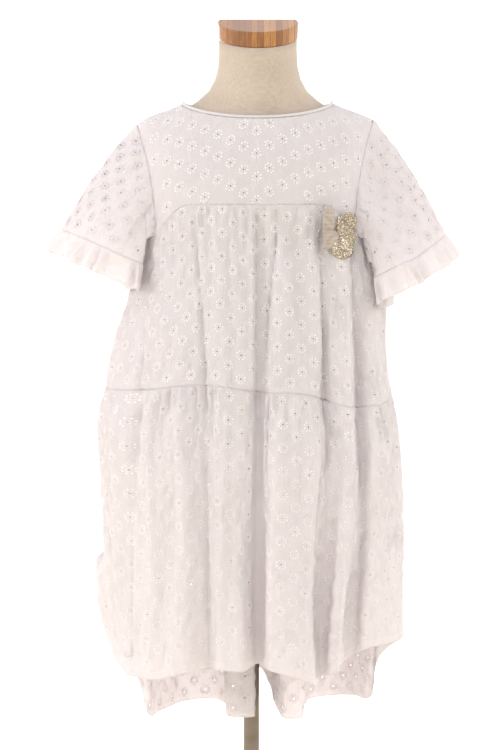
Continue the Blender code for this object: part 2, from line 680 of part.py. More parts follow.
def main():
    for old in list(bpy.data.objects):
        bpy.data.objects.remove(old, do_unlink=True)
    collection = bpy.data.collections.new(COLLECTION)
    bpy.context.scene.collection.children.link(collection)

    cotton = material("white_eyelet_cotton", (0.82, 0.77, 0.74), 0.9)
    frill = material("white_cotton_frill", (0.84, 0.79, 0.76), 0.9)
    binding = material("white_cotton_binding", (0.83, 0.78, 0.76), 0.85)
    linen = material("cream_linen", (0.62, 0.53, 0.42), 0.9)
    wood = material("striped_wood", (0.42, 0.20, 0.08), 0.5)
    steel = material("brushed_steel", (0.30, 0.26, 0.22), 0.4, 1.0)
    glitter = material("gold_glitter_cloth", (0.42, 0.34, 0.22), 0.45, 0.6)
    ribbon = material("beige_ribbed_ribbon", (0.38, 0.30, 0.21), 0.7)

    for face in (-1, 1):
        make_yoke(face, cotton, collection)
        make_upper_tier(face, cotton, collection)
        make_lower_tier(face, cotton, collection)
    make_binding(binding, collection)
    for name in SLEEVES:
        make_sleeve(name, cotton, frill, collection)
    make_brooch(glitter, ribbon, collection)
    make_torso(linen, collection)
    make_cap(wood, collection)
    make_stand(steel, collection)


main()
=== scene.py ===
"""Looks of a child's tiered eyelet smock dress on a limbless dress form, built around its frame.

Cloth is laid out in the dress's own space, in metres, +Z up, front towards -Y, and then moved
beside the pole by DRESS_AT. Every panel is a grid of flat cloth, so that its eyelets, daisies and
weave keep their size and are drawn together where the cloth is gathered.
"""
import math

import bmesh
import bpy
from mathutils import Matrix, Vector, noise


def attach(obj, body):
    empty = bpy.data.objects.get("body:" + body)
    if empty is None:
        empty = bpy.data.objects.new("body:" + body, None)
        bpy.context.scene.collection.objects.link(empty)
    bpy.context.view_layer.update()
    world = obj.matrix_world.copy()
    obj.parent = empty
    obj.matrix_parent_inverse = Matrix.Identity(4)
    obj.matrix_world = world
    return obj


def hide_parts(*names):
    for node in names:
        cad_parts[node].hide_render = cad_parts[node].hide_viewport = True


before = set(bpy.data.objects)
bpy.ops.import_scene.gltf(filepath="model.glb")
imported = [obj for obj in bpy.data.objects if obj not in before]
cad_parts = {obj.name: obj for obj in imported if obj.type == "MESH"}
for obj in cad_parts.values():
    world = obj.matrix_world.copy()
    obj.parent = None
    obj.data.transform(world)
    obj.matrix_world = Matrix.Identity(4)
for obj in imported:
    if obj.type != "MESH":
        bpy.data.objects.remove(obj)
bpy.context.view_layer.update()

DRESS_AT = Vector((0.0045, -0.020, 0.0))  # the dress's middle, seen from the pole
COTTON = 0.00045  # thickness of the cotton
EDGE_GAP = 0.00003  # between the middles of two edges sewn together

# Cloth pattern: daisies stand in rows, and every second row is moved by half a repeat.
REPEAT_ACROSS, REPEAT_DOWN = 0.031, 0.0142
HOLE_RADIUS, DAISY_RADIUS, PETALS = 0.0011, 0.0058, 8

# Body ------------------------------------------------------------------------------------------
CHEST_Z, BOXY, RING_POWER, SHOULDER_ROUND = 0.855, 0.12, 2.4, 2.2
RIDGE_AT, RIDGE_Z, RIDGE_SLOPE, RIDGE_X = 0.09, 1.021, 0.38, 0.004

# Rings of the body cloth: height, half width at -X, half width at +X, depth in front, depth behind.
RINGS = (
    (0.855, 0.148, 0.150, 0.092, 0.088),
    (0.790, 0.154, 0.163, 0.103, 0.095),
    (0.725, 0.173, 0.163, 0.109, 0.098),
    (0.665, 0.185, 0.169, 0.114, 0.101),
    (0.620, 0.194, 0.179, 0.119, 0.104),
    (0.560, 0.193, 0.184, 0.123, 0.106),
)

NECK_X, NECK_WIDTH, NECK_DIP, NECK_BACK_DIP = 0.003, 0.093, 0.021, 0.006
ARM_TOP_X, ARM_CORNER_X, ARM_CORNER_Z, UNDERARM_Z = 0.146, 0.120, 0.859, 0.846
ARM_CORNER_SHARE = 0.72  # share of half an armhole that lies on the yoke
YOKE_Z, YOKE_FLAT, BACK_YOKE_Z = 0.895, 0.079, 0.905

# Folds of the upper tier: angle at the yoke seam, angle at the tier seam, half width, depth.
FRONT_FOLDS = (
    (-47, -42, 5, -0.035),
    (-22, -17, 6, -0.030),
    (-11, -12, 5, 0.020),
    (3, 1, 4.5, -0.060),
    (11, 6, 5, 0.025),
    (31, 28, 4.5, -0.055),
    (40, 36, 4, 0.025),
    (49, 45, 5, -0.060),
    (60, 57, 5, 0.020),
)
BACK_FOLDS = (
    (-48, -50, 5, -0.040),
    (-30, -32, 5, -0.035),
    (-12, -12, 5, -0.055),
    (-2, -2, 5, 0.020),
    (12, 12, 5, -0.055),
    (31, 34, 5, -0.040),
    (50, 52, 5, -0.035),
)

# The hem's course: angle of the same thread at the tier seam, then x, y and height of the hem.
FRONT_HEM = (
    (-90, -0.189, 0.000, 0.371),
    (-72, -0.178, -0.045, 0.345),
    (-56, -0.158, -0.072, 0.322),
    (-45, -0.146, -0.079, 0.320),
    (-33, -0.118, -0.105, 0.322),
    (-24, -0.085, -0.119, 0.333),
    (-17, -0.054, -0.106, 0.336),
    (-12, -0.039, -0.124, 0.338),
    (-5, -0.015, -0.126, 0.337),
    (1, 0.003, -0.098, 0.340),
    (6, 0.018, -0.128, 0.338),
    (15, 0.046, -0.131, 0.331),
    (23, 0.070, -0.124, 0.321),
    (28, 0.079, -0.102, 0.325),
    (36, 0.096, -0.116, 0.333),
    (45, 0.111, -0.088, 0.345),
    (54, 0.132, -0.093, 0.356),
    (66, 0.158, -0.062, 0.356),
    (78, 0.178, -0.034, 0.354),
    (90, 0.187, 0.000, 0.353),
)
BACK_HEM = (
    (-90, -0.189, 0.000, 0.371),
    (-80, -0.154, 0.010, 0.314),
    (-70, -0.137, 0.006, 0.253),
    (-58, -0.118, 0.044, 0.249),
    (-46, -0.096, 0.084, 0.248),
    (-34, -0.072, 0.098, 0.248),
    (-24, -0.048, 0.094, 0.249),
    (-20, -0.037, 0.055, 0.250),
    (-16, -0.034, -0.001, 0.251),
    (-13, -0.016, -0.005, 0.250),
    (-11, 0.001, -0.003, 0.251),
    (-9, -0.010, 0.004, 0.254),
    (-7, -0.022, 0.012, 0.258),
    (-4, -0.024, 0.050, 0.270),
    (-1, -0.012, 0.094, 0.288),
    (4, 0.010, 0.086, 0.290),
    (8, 0.022, 0.034, 0.268),
    (12, 0.032, -0.002, 0.252),
    (16, 0.046, -0.004, 0.248),
    (20, 0.060, 0.000, 0.250),
    (24, 0.063, 0.040, 0.252),
    (30, 0.070, 0.088, 0.250),
    (42, 0.098, 0.094, 0.254),
    (58, 0.128, 0.064, 0.262),
    (74, 0.148, 0.022, 0.272),
    (82, 0.157, 0.014, 0.322),
    (90, 0.187, 0.000, 0.353),
)
# How far the inner fold beside the pole stands back to -X before it leans across, by angle.
LEAN = ((-16, 0.0), (-13.5, -0.014), (-11, -0.028), (-8.5, -0.014), (-6, 0.0))
FOLD_DEEP = (0.08, 0.66)  # share of the lower tier over which the back's inner folds deepen
FOLD_LEAN = (0.66, 0.84)  # share over which the fold beside the pole leans across it

# Sleeves: middle of the open end, arm from there to its outer point, arm to its front point.
SLEEVES = {
    "right": (-1, (-0.190, -0.002, 0.843), (-0.0485, 0.0, 0.0215), (0.019, -0.070, -0.004)),
    "left": (1, (0.186, -0.002, 0.832), (0.0500, 0.0, 0.0270), (-0.010, -0.071, -0.008)),
}
CUFF_CORNER = 0.45  # power that squares the open end where it hangs in front of the underarm
SLEEVE_SWELL, SLEEVE_START, SLEEVE_CLEAR = 0.007, 0.0044, 0.005
FRILL_LENGTH, FRILL_WAVES, FRILL_DEPTH = 0.031, 23, 0.0046
BINDING_WIDTH, BINDING_THICK = 0.0042, 0.0022

# Brooch: middle on the yoke seam, and the way that its front faces, turned about +Z.
BROOCH_AT, BROOCH_TURN, BROOCH_OUT = (0.093, 0.860), 0.50, 0.0055
# The wing's outline from its pinch: direction in degrees, and reach.
WING_REACH = ((92, 0.005), (60, 0.014), (27, 0.0295), (3, 0.0270), (-22, 0.0280), (-42, 0.033),
              (-57, 0.041), (-80, 0.041), (-104, 0.032))

# Creases in front, below the yoke: height, x, depth (below 0 for a ridge), half widths towards
# -X and +X.
CREASES = (
    ((0.884, 0.001, 0.005, 0.002, 0.008), (0.780, 0.002, 0.010, 0.002, 0.011),
     (0.660, 0.002, 0.011, 0.003, 0.012), (0.480, 0.003, 0.005, 0.003, 0.010),
     (0.300, 0.003, 0.002, 0.003, 0.010)),
    ((0.880, 0.029, 0.003, 0.002, 0.004), (0.800, 0.018, 0.005, 0.003, 0.002),
     (0.734, 0.010, 0.004, 0.003, 0.002), (0.700, 0.006, 0.0, 0.003, 0.003)),
    ((0.880, -0.073, 0.002, 0.003, 0.003), (0.780, -0.066, 0.004, 0.002, 0.005),
     (0.665, -0.059, 0.005, 0.004, 0.002), (0.450, -0.056, 0.004, 0.005, 0.002),
     (0.300, -0.055, 0.003, 0.006, 0.002)),
    ((0.760, -0.036, 0.0, 0.006, 0.006), (0.690, -0.034, -0.004, 0.007, 0.004),
     (0.560, -0.037, -0.005, 0.005, 0.004), (0.300, -0.046, -0.003, 0.002, 0.004)),
    ((0.860, 0.078, 0.003, 0.002, 0.004), (0.780, 0.082, 0.009, 0.003, 0.004),
     (0.650, 0.084, 0.012, 0.003, 0.004), (0.620, 0.089, 0.008, 0.006, 0.003),
     (0.520, 0.077, 0.004, 0.004, 0.004), (0.300, 0.076, 0.002, 0.004, 0.004)),
    ((0.760, 0.100, 0.0, 0.006, 0.006), (0.690, 0.103, -0.005, 0.006, 0.006),
     (0.540, 0.103, -0.004, 0.007, 0.006), (0.300, 0.094, -0.002, 0.006, 0.006)),
    ((0.860, 0.117, 0.003, 0.003, 0.004), (0.780, 0.121, 0.009, 0.003, 0.005),
     (0.650, 0.126, 0.012, 0.003, 0.005), (0.527, 0.129, 0.008, 0.003, 0.005),
     (0.350, 0.118, 0.005, 0.003, 0.005)),
    ((0.820, -0.134, 0.0, 0.010, 0.002), (0.760, -0.134, 0.004, 0.014, 0.002),
     (0.650, -0.138, 0.006, 0.016, 0.0015), (0.527, -0.148, 0.006, 0.014, 0.0015),
     (0.375, -0.151, 0.005, 0.012, 0.002)),
)

YOKE_PUFF = 0.012  # how far the cloth stands out below the yoke seam, as a share of the ring
SIDE_KICK = 0.0105  # how far the crumpled edge beside the right leg stands out
FRONT_VALLEY_X = 0.003  # the deep fold in the middle of the front, beside which no daisy is sewn

# Flat cuts of cloth, as width by length, and the shares of them that are used.
LOWER_TIER_LENGTH = {-1: 0.344, 1: 0.424}  # front and back
HEM_DEPTH, HEM_FOLD, FRILL_FULLNESS = 0.010, 0.0005, 1.6
BINDING_OPEN = (8, 9)  # sides left open below, where the yoke's raw edge goes in
WING_CUT, WING_CUT_SHARE, WING_GRID, WING_PLEATS = (0.066, 0.036), 0.62, (72, 14), 9
RIBBON_CREASE = 0.56  # share of the ribbon above the crease between its two loops
RIBBON_TOP, RIBBON_FOOT, RIBBON_LIFT, RIBBON_PUFF = 0.034, -0.0175, 0.0050, 0.0075

# Depths of each panel's streaks, creases and fine crinkle.
CRUMPLE = {
    "yoke": (0.0016, 0.0007, 0.0003),
    "tier1": (0.0045, 0.0016, 0.0007),
    "tier2": (0.0060, 0.0020, 0.0008),
    "sleeve": (0.0050, 0.0016, 0.0005),
    "frill": (0.0018, 0.0010, 0.0004),
}
FACES = {-1: "front", 1: "back"}
STRIP_WIDTH, RIB_PITCH = 0.0075, 0.0019  # of the cap's wood and the ribbon
WORLD_LIGHT = 1.38


# Curves ------------------------------------------------------------------------------------------

def smooth(share):
    share = min(max(share, 0.0), 1.0)
    return share * share * (3 - 2 * share)


def mix(a, b, share):
    return a + (b - a) * share


def through(rows, at):
    """The values of a table at one place, on a smooth curve through its rows."""
    first, final = rows[0][0], rows[-1][0]
    at = min(max(at, min(first, final)), max(first, final))
    last = len(rows) - 2
    k = next((i for i in range(last) if (at - rows[i + 1][0]) * (at - rows[i][0]) <= 0), last)
    before, start, end, after = (rows[min(max(k + step, 0), last + 1)] for step in (-1, 0, 1, 2))
    span = end[0] - start[0]
    t = (at - start[0]) / span
    cubic = 2 * t**3 - 3 * t**2
    rise, fall = t**3 - 2 * t**2 + t, t**3 - t**2
    values = []
    for column in range(1, len(start)):
        a, b = start[column], end[column]
        slope_in = (b - before[column]) / (end[0] - before[0]) * span
        slope_out = (after[column] - a) / (after[0] - start[0]) * span
        values.append(a * (cubic + 1) - b * cubic + slope_in * rise + slope_out * fall)
    return values


def ring_angle(share):
    """The angle at which a ring is `share` of its half width from the middle."""
    s = share
    for _ in range(8):
        s -= (s * (1 + BOXY) - BOXY * s**3 - share) / (1 + BOXY - 3 * BOXY * s * s)
    return math.asin(min(max(s, -1.0), 1.0))


# The body's surface --------------------------------------------------------------------------------

def ridge_height(x):
    off = abs(x - RIDGE_X)
    return RIDGE_Z - RIDGE_SLOPE * (off - RIDGE_AT) - 18 * max(0.0, off - 0.135) ** 2


def on_ring(face, angle, z, out=0.0):
    """A point of the body cloth. face is -1 in front and 1 behind, angle runs from side to side."""
    right, left, front, back = through(RINGS, z)
    s, c = math.sin(angle), math.cos(angle)
    half = left if s > 0 else right
    depth = front if face < 0 else back
    x = half * s * (1 + BOXY * c * c) * (1 + out)
    y = face * depth * c * (1 + BOXY * s * s) * (1 + out)
    if z > CHEST_Z:
        rise = (z - CHEST_Z) / (ridge_height(x) - CHEST_Z)
        y *= max(0.0, 1 - min(rise, 1.0) ** SHOULDER_ROUND) ** (1 / SHOULDER_ROUND)
    return Vector((x, y, z))


def angle_at(x, z):
    right, left, _, _ = through(RINGS, min(z, CHEST_Z))
    return ring_angle(min(max(x / (left if x > 0 else right), -1.0), 1.0))


def over_shoulder(face, x, slope):
    """A point above the chest by x and by slope, which is 0 on the shoulder's ridge."""
    rise = max(0.0, math.cos(slope)) ** (2 / SHOULDER_ROUND)
    z = CHEST_Z + rise * (ridge_height(x) - CHEST_Z)
    flat = on_ring(face, angle_at(x, CHEST_Z), CHEST_Z)
    return Vector((x, flat.y * math.sin(slope) ** (2 / SHOULDER_ROUND), z))


def slope_at(x, z):
    rise = min(max((z - CHEST_Z) / (ridge_height(x) - CHEST_Z), 0.0), 1.0)
    return math.acos(rise ** (SHOULDER_ROUND / 2))


def neckline(face, turn):
    """x and height of the neckline; turn runs from -90 to 90 degrees across one face."""
    x = NECK_X + NECK_WIDTH * math.sin(turn)
    dip, power = (NECK_DIP, 1.2) if face < 0 else (NECK_BACK_DIP, 0.8)
    return x, ridge_height(RIDGE_X + NECK_WIDTH) - dip * max(0.0, math.cos(turn)) ** power


def armhole(side, share):
    """x and height along half an armhole, from the shoulder to the underarm."""
    if share <= ARM_CORNER_SHARE:
        t = share / ARM_CORNER_SHARE
        x = ARM_CORNER_X + (ARM_TOP_X - ARM_CORNER_X) * (1 - t) ** 2
        top = ridge_height(side * ARM_TOP_X)
        return side * x, mix(top, ARM_CORNER_Z, t)
    t = (share - ARM_CORNER_SHARE) / (1 - ARM_CORNER_SHARE)
    start = abs(angle_at(side * ARM_CORNER_X, CHEST_Z))
    angle = mix(start, math.pi / 2, t)
    z = UNDERARM_Z + (ARM_CORNER_Z - UNDERARM_Z) * (1 - t) ** 2
    return on_ring(-1, side * angle, z).x, z


def armhole_point(side, face, share):
    x, z = armhole(side, share)
    if share <= ARM_CORNER_SHARE:
        return over_shoulder(face, x, slope_at(x, z))
    return on_ring(face, angle_at(x, z), z)


def yoke_seam_z(face, x):
    level = YOKE_Z if face < 0 else BACK_YOKE_Z
    past = max(0.0, (abs(x) - YOKE_FLAT) / (ARM_CORNER_X - YOKE_FLAT))
    return level - (level - ARM_CORNER_Z) * past**1.7


def tier_seam_z(face, angle):
    if face > 0:
        return 0.668 - 0.004 * math.cos(2 * angle)
    table = ((-90, 0.668), (-42, 0.673), (-17, 0.680), (1, 0.672), (15, 0.670), (28, 0.662),
             (36, 0.653), (50, 0.652), (90, 0.660))
    return through(table, math.degrees(angle))[0]


def fold_out(face, angle, share):
    """How far the upper tier's folds stand out, as a share of the ring."""
    total = 0.0
    for start, end, width, depth in FRONT_FOLDS if face < 0 else BACK_FOLDS:
        off = (math.degrees(angle) - mix(start, end, share)) / width
        total += depth * math.exp(-off * off)
    return total * smooth(0.15 + 0.85 * share)


def top_edge(face, angle):
    """The upper tier's top edge: under the armholes and along the yoke seam."""
    corner = abs(angle_at(math.copysign(ARM_CORNER_X, angle), CHEST_Z))
    if abs(angle) > corner:
        t = (abs(angle) - corner) / (math.pi / 2 - corner)
        return UNDERARM_Z + (ARM_CORNER_Z - UNDERARM_Z) * (1 - t) ** 2
    return yoke_seam_z(face, on_ring(face, angle, CHEST_Z).x)


def upper_tier(face, angle, share):
    """share runs from the top edge, 0, to the tier seam, 1."""
    z = mix(top_edge(face, angle) - EDGE_GAP, tier_seam_z(face, angle), share)
    puff = YOKE_PUFF * math.exp(-(((share - 0.07) / 0.06) ** 2)) * math.cos(angle)
    return on_ring(face, angle, z, fold_out(face, angle, share) + puff)


def lower_tier(face, angle, share):
    """angle is measured at the tier seam; share runs from the seam, 0, to the hem, 1."""
    degrees = math.degrees(angle)
    start = upper_tier(face, angle, 1.0)
    start.z -= EDGE_GAP
    hem = Vector(through(FRONT_HEM if face < 0 else BACK_HEM, degrees))
    z = mix(start.z, hem.z, share)
    wide = on_ring(face, angle, z, fold_out(face, angle, 1.0))
    drawn = smooth((share - 0.05) / 0.95) if face < 0 else smooth((share - 0.25) / 0.72)
    point = Vector((mix(wide.x, hem.x, drawn), mix(wide.y, hem.y, drawn), z))
    if face > 0:
        inner = smooth((share - FOLD_DEEP[0]) / (FOLD_DEEP[1] - FOLD_DEEP[0]))
        held = smooth(1 - (abs(degrees - 2) - 24) / 8)
        point.y = mix(point.y, mix(wide.y, hem.y, inner), held)
        point.x = mix(point.x, mix(wide.x, hem.x, inner), held)
        across = 1 - smooth((share - FOLD_LEAN[0]) / (FOLD_LEAN[1] - FOLD_LEAN[0]))
        point.x += through(LEAN, degrees)[0] * across * inner
    return point


def clear_of_body(point, room):
    """Moves a point out from the middle until it is `room` outside the body cloth."""
    right, left, front, back = through(RINGS, min(point.z, CHEST_Z))
    half = (left if point.x > 0 else right) + room
    depth = (front if point.y < 0 else back) + room
    if abs(point.x) >= half:
        return
    if point.z > CHEST_Z:
        rise = min((point.z - CHEST_Z) / (ridge_height(point.x) - CHEST_Z), 0.99)
        depth *= (1 - rise**SHOULDER_ROUND) ** (1 / SHOULDER_ROUND)
    reach = ((abs(point.x) / half) ** RING_POWER + (abs(point.y) / depth) ** RING_POWER) ** (1 / RING_POWER)
    if reach < 1:
        point.x /= reach
        point.y /= reach


def sleeve_point(name, turn, share):
    """turn is 0 at the shoulder, a quarter in front and a half under the arm; share runs outward."""
    side, middle, outer, front = SLEEVES[name]
    half_turn = turn if turn <= 0.5 else 1 - turn
    face = -1 if turn <= 0.5 else 1
    start = armhole_point(side, face, half_turn * 2)
    angle = 2 * math.pi * turn
    across, ahead = math.cos(angle), math.sin(angle)
    if across < 0 < ahead:
        across, ahead = -(-across) ** CUFF_CORNER, ahead**CUFF_CORNER
    end = Vector(middle) + Vector(outer) * across + Vector(front) * ahead
    under = (1 - math.cos(angle)) / 2
    start += Vector((side * (0.0003 + 0.0012 * under), 0.0, 0.0003 * (1 - under)))
    point = start.lerp(end, share)
    swell = SLEEVE_SWELL * math.sin(math.pi * share)
    point += Vector((side * 0.6, 0.0, 0.8)) * swell * (0.5 + 0.5 * math.cos(angle))
    if name == "left":
        off = (turn - mix(0.12, 0.17, share)) / 0.045
        point -= Vector((side * 0.5, -0.6, 0.6)) * 0.012 * math.exp(-off * off) * smooth(share * 4)
    if point.z < CHEST_Z + 0.03:
        clear_of_body(point, SLEEVE_START * smooth(share * 12) + SLEEVE_CLEAR * smooth(share * 5))
    return point


def frill_point(name, turn, share):
    side = SLEEVES[name][0]
    edge = sleeve_point(name, turn, 1.0)
    along = edge - sleeve_point(name, turn, 0.8)
    along = (along.normalized() + Vector((0, 0, -0.35))).normalized()
    ahead = sleeve_point(name, (turn + 0.01) % 1, 1.0) - edge
    out = along.cross(ahead).normalized() * -side
    loose = noise.noise(Vector((math.cos(2 * math.pi * turn) * 3, math.sin(2 * math.pi * turn) * 3, side)))
    wave = math.sin(2 * math.pi * FRILL_WAVES * turn + 2.2 * loose) * (0.85 + 0.6 * loose)
    wave *= FRILL_DEPTH * min(share * 2.2, 1.0) * (0.7 + 0.3 * share)
    length = FRILL_LENGTH * (1 + 0.12 * loose)
    point = edge + along * (EDGE_GAP + length * share) + out * (wave + 0.004 * share)
    clear_of_body(point, SLEEVE_START + SLEEVE_CLEAR)
    return point


# Laying flat cloth out in space ------------------------------------------------------------------

def runs_along(spots):
    """The way covered from the first of a row of spots to each of them."""
    runs = [0.0]
    for a, b in zip(spots, spots[1:]):
        runs.append(runs[-1] + (b - a).length)
    return runs


def even_stations(edge, start, end, cell):
    """Values that cut the edge from start to end into even columns, near to cell; and its length."""
    values = [mix(start, end, i / FINE_STEPS) for i in range(FINE_STEPS + 1)]
    runs = runs_along([edge(value) for value in values])
    count = round(runs[-1] / cell)
    stations, k = [], 0
    for i in range(count + 1):
        wanted = runs[-1] * i / count
        while k < FINE_STEPS - 1 and runs[k + 1] < wanted:
            k += 1
        stations.append(mix(values[k], values[k + 1], (wanted - runs[k]) / (runs[k + 1] - runs[k])))
    return stations, runs[-1]


class Cloth:
    """Flat cloth laid out in space: a grid of `columns` by `rows` cells, each `across` by `down`."""

    def __init__(self, place, columns, rows, across, down, tube=False, flip=False):
        self.columns, self.rows, self.across, self.down = columns, rows, across, down
        self.tube, self.flip = tube, flip
        count = columns if tube else columns + 1
        self.points = [[place(i, j) for j in range(rows + 1)] for i in range(count)]
        self.find_normals()

    def find_normals(self):
        points, count = self.points, len(self.points)
        self.normals = []
        for i in range(count):
            before = points[i - 1] if self.tube or i else points[i]
            after = points[(i + 1) % count] if self.tube or i < count - 1 else points[i]
            line = []
            for j in range(self.rows + 1):
                along = after[j] - before[j]
                fall = points[i][min(j + 1, self.rows)] - points[i][max(j - 1, 0)]
                out = fall.cross(along)
                if out.length < 1e-12:
                    out = line[-1].copy() if line else Vector((0, 0, 1))
                    line.append(out)
                    continue
                line.append(out.normalized() * (-1 if self.flip else 1))
            self.normals.append(line)

    def swell(self, height):
        """Moves every point out of the surface by height(i, j), then finds the normals again."""
        for i, line in enumerate(self.points):
            for j in range(self.rows + 1):
                line[j] = line[j] + self.normals[i][j] * height(i, j)
        self.find_normals()

    def at(self, i, j, out=0.0):
        """The place and normal of the cloth at a spot between its grid's lines."""
        top = self.columns if self.tube else self.columns - 1e-6
        i = i % self.columns if self.tube else min(max(i, 0.0), top)
        j = min(max(j, 0.0), self.rows - 1e-6)
        a, b = int(i), int(j)
        c = (a + 1) % self.columns if self.tube else a + 1
        s, t = i - a, j - b

        def between(grid):
            return ((grid[a][b] * (1 - s) + grid[c][b] * s) * (1 - t)
                    + (grid[a][b + 1] * (1 - s) + grid[c][b + 1] * s) * t)

        return between(self.points) + between(self.normals).normalized() * out


def daisies_on(cloth, repeat, first, keep):
    """Grid cells that hold an eyelet and pass the test `keep`; repeat is the pattern's, in cells."""
    per_repeat, per_row = repeat
    cells = []
    for r in range(cloth.rows // per_row + 1):
        j = first[1] + r * per_row
        for k in range(cloth.columns // per_repeat + 2):
            i = first[0] + k * per_repeat + (r % 2) * per_repeat // 2
            if cloth.tube:
                i %= cloth.columns
            inside = 1 <= i < cloth.columns - 1 and 1 <= j < cloth.rows - 1
            if inside and keep(i, j):
                cells.append((i, j))
    return cells


def sew_object(name, verts, flats, faces, finish):
    """A piece of cloth from its points, its faces, and the place in flat cloth of each face corner."""
    mesh = bpy.data.meshes.new(name)
    mesh.from_pydata([point + DRESS_AT for point in verts], [], faces)
    if flats:
        layer = mesh.uv_layers.new(name="FlatCloth")
        layer.data.foreach_set("uv", [number for flat in flats for number in flat])
    mesh.shade_smooth()
    mesh.materials.append(finish)
    piece = bpy.data.objects.new(name, mesh)
    bpy.context.scene.collection.objects.link(piece)
    return piece


def sew_solid(name, verts, flats, faces, finish):
    """A piece whose faces are then turned to look outward."""
    piece = sew_object(name, verts, flats, faces, finish)
    build = bmesh.new()
    build.from_mesh(piece.data)
    bmesh.ops.recalc_face_normals(build, faces=build.faces)
    build.to_mesh(piece.data)
    build.free()
    return piece


def add_thickness(piece, thickness):
    wall = piece.modifiers.new("thickness", "SOLIDIFY")
    wall.thickness = thickness
    wall.offset = 0.0
    wall.use_even_offset = False
    return piece


CORNERS = ((0, 0), (0, 1), (1, 1), (1, 0))
AROUND_HOLE = ((0, "o5", "o6", 3), (0, 1, "o3", "o4"), (1, 2, "o1", "o2"), (2, 3, "o7", "o0"),
               (0, "o4", "o5"), (1, "o2", "o3"), (2, "o0", "o1"), (3, "o6", "o7"))


def cut_cloth(name, cloth, holes, finish, thickness=COTTON, column_range=None):
    """The panel's mesh. Cells in `holes` are cut open by a round eyelet.

    column_range, where given, holds the first and last row of each column, as numbers that need
    not be whole, so that the panel is cut to a curved outline.
    """
    verts, flats, faces, found = [], [], [], {}
    holes = set(holes)

    def vertex(i, j):
        wrapped = i % cloth.columns if cloth.tube else i
        key = (wrapped, round(j, 4))
        if key not in found:
            found[key] = len(verts)
            verts.append(cloth.at(wrapped, j))
        return found[key], (i * cloth.across, -j * cloth.down)

    def face(corners):
        corners = [c for k, c in enumerate(corners) if c[0] != corners[k - 1][0]]
        if len(corners) > 2:
            corners = corners[::-1] if cloth.flip else corners
            faces.append([c[0] for c in corners])
            flats.extend(c[1] for c in corners)

    def cell(i, j):
        square = [vertex(i + a, j + b) for a, b in CORNERS]
        if (i, j) not in holes:
            face(square)
            return
        ring = []
        for k in range(8):
            angle = math.pi * (k + 0.5) / 4
            a = i + 0.5 + HOLE_RADIUS / cloth.across * math.cos(angle)
            b = j + 0.5 + HOLE_RADIUS / cloth.down * math.sin(angle)
            ring.append((len(verts), (a * cloth.across, -b * cloth.down)))
            verts.append(cloth.at(a, b))
        for corners in AROUND_HOLE:
            face([ring[int(c[1])] if isinstance(c, str) else square[c] for c in corners])

    for i in range(cloth.columns):
        if column_range is None:
            for j in range(cloth.rows):
                cell(i, j)
            continue
        (top, low), (next_top, next_low) = column_range[i], column_range[i + 1]
        first, last = math.ceil(max(top, next_top)), math.floor(min(low, next_low))
        strips = [(top, first, next_top, first), (last, low, last, next_low)]
        if first >= last:
            strips = [(top, low, next_top, next_low)]
        for j in range(first, last):
            cell(i, j)
        for left_top, left_low, right_top, right_low in strips:
            left = [left_top, *range(math.floor(left_top) + 1, math.ceil(left_low)), left_low]
            right = [right_top, *range(math.floor(right_top) + 1, math.ceil(right_low)), right_low]
            face([vertex(i, j) for j in left] + [vertex(i + 1, j) for j in right[::-1]])
    piece = sew_object(name, verts, flats, faces, finish)
    return add_thickness(piece, thickness)


RIM = ((-0.00010, 0.0), (0.00045, 0.00055), (0.00095, -0.00030))  # reach past the hole, and height
PETAL = ((0.0034, 0.0), (0.0042, 0.00115), (0.0055, 0.00150), (0.0066, 0.0),
         (0.0055, -0.00150), (0.0042, -0.00115))  # reach from the middle, and half width
PETAL_HEIGHT = 0.0007


def embroider(name, cloth, cells, finish, inside=None):
    """Satin-stitched daisies around the eyelets: a raised rim, and petals that swell on both sides."""
    verts, flats, faces = [], [], []  # here a flat place for each point

    def add(i, j, x, y, out):
        a, b = i + x / cloth.across, j + y / cloth.down
        verts.append(cloth.at(a, b, out))
        flats.append((a * cloth.across, -b * cloth.down))
        return len(verts) - 1

    for i, j in cells:
        mid_i, mid_j = i + 0.5, j + 0.5
        rings = []
        for reach, out in RIM:
            ring = []
            for k in range(8):
                angle = math.pi * (k + 0.5) / 4
                size = HOLE_RADIUS + reach
                ring.append(add(mid_i, mid_j, size * math.cos(angle), size * math.sin(angle), out))
            rings.append(ring)
        for a, b in zip(rings, rings[1:] + rings[:1]):
            for k in range(8):
                n = (k + 1) % 8
                faces.append((a[k], b[k], b[n], a[n]))
        for p in range(PETALS):
            angle = 2 * math.pi * (p + 0.5) / PETALS
            c, s = math.cos(angle), math.sin(angle)
            far_i, far_j = mid_i + c * DAISY_RADIUS / cloth.across, mid_j + s * DAISY_RADIUS / cloth.down
            if not cloth.tube and not 0.3 < far_i < cloth.columns - 0.3:
                continue
            if not 0.3 < far_j < cloth.rows - 0.3 or (inside and not inside(far_i, far_j)):
                continue
            outline = [add(mid_i, mid_j, c * r - s * w, s * r + c * w, 0.0) for r, w in PETAL]
            crest = [add(mid_i, mid_j, c * 0.0051, s * 0.0051, side * PETAL_HEIGHT) for side in (1, -1)]
            for k, corner in enumerate(outline):
                n = outline[(k + 1) % len(outline)]
                faces.append((corner, n, crest[0]))
                faces.append((n, corner, crest[1]))
    flats = [flats[corner] for corners in faces for corner in corners]
    return sew_solid(name, verts, flats, faces, finish)


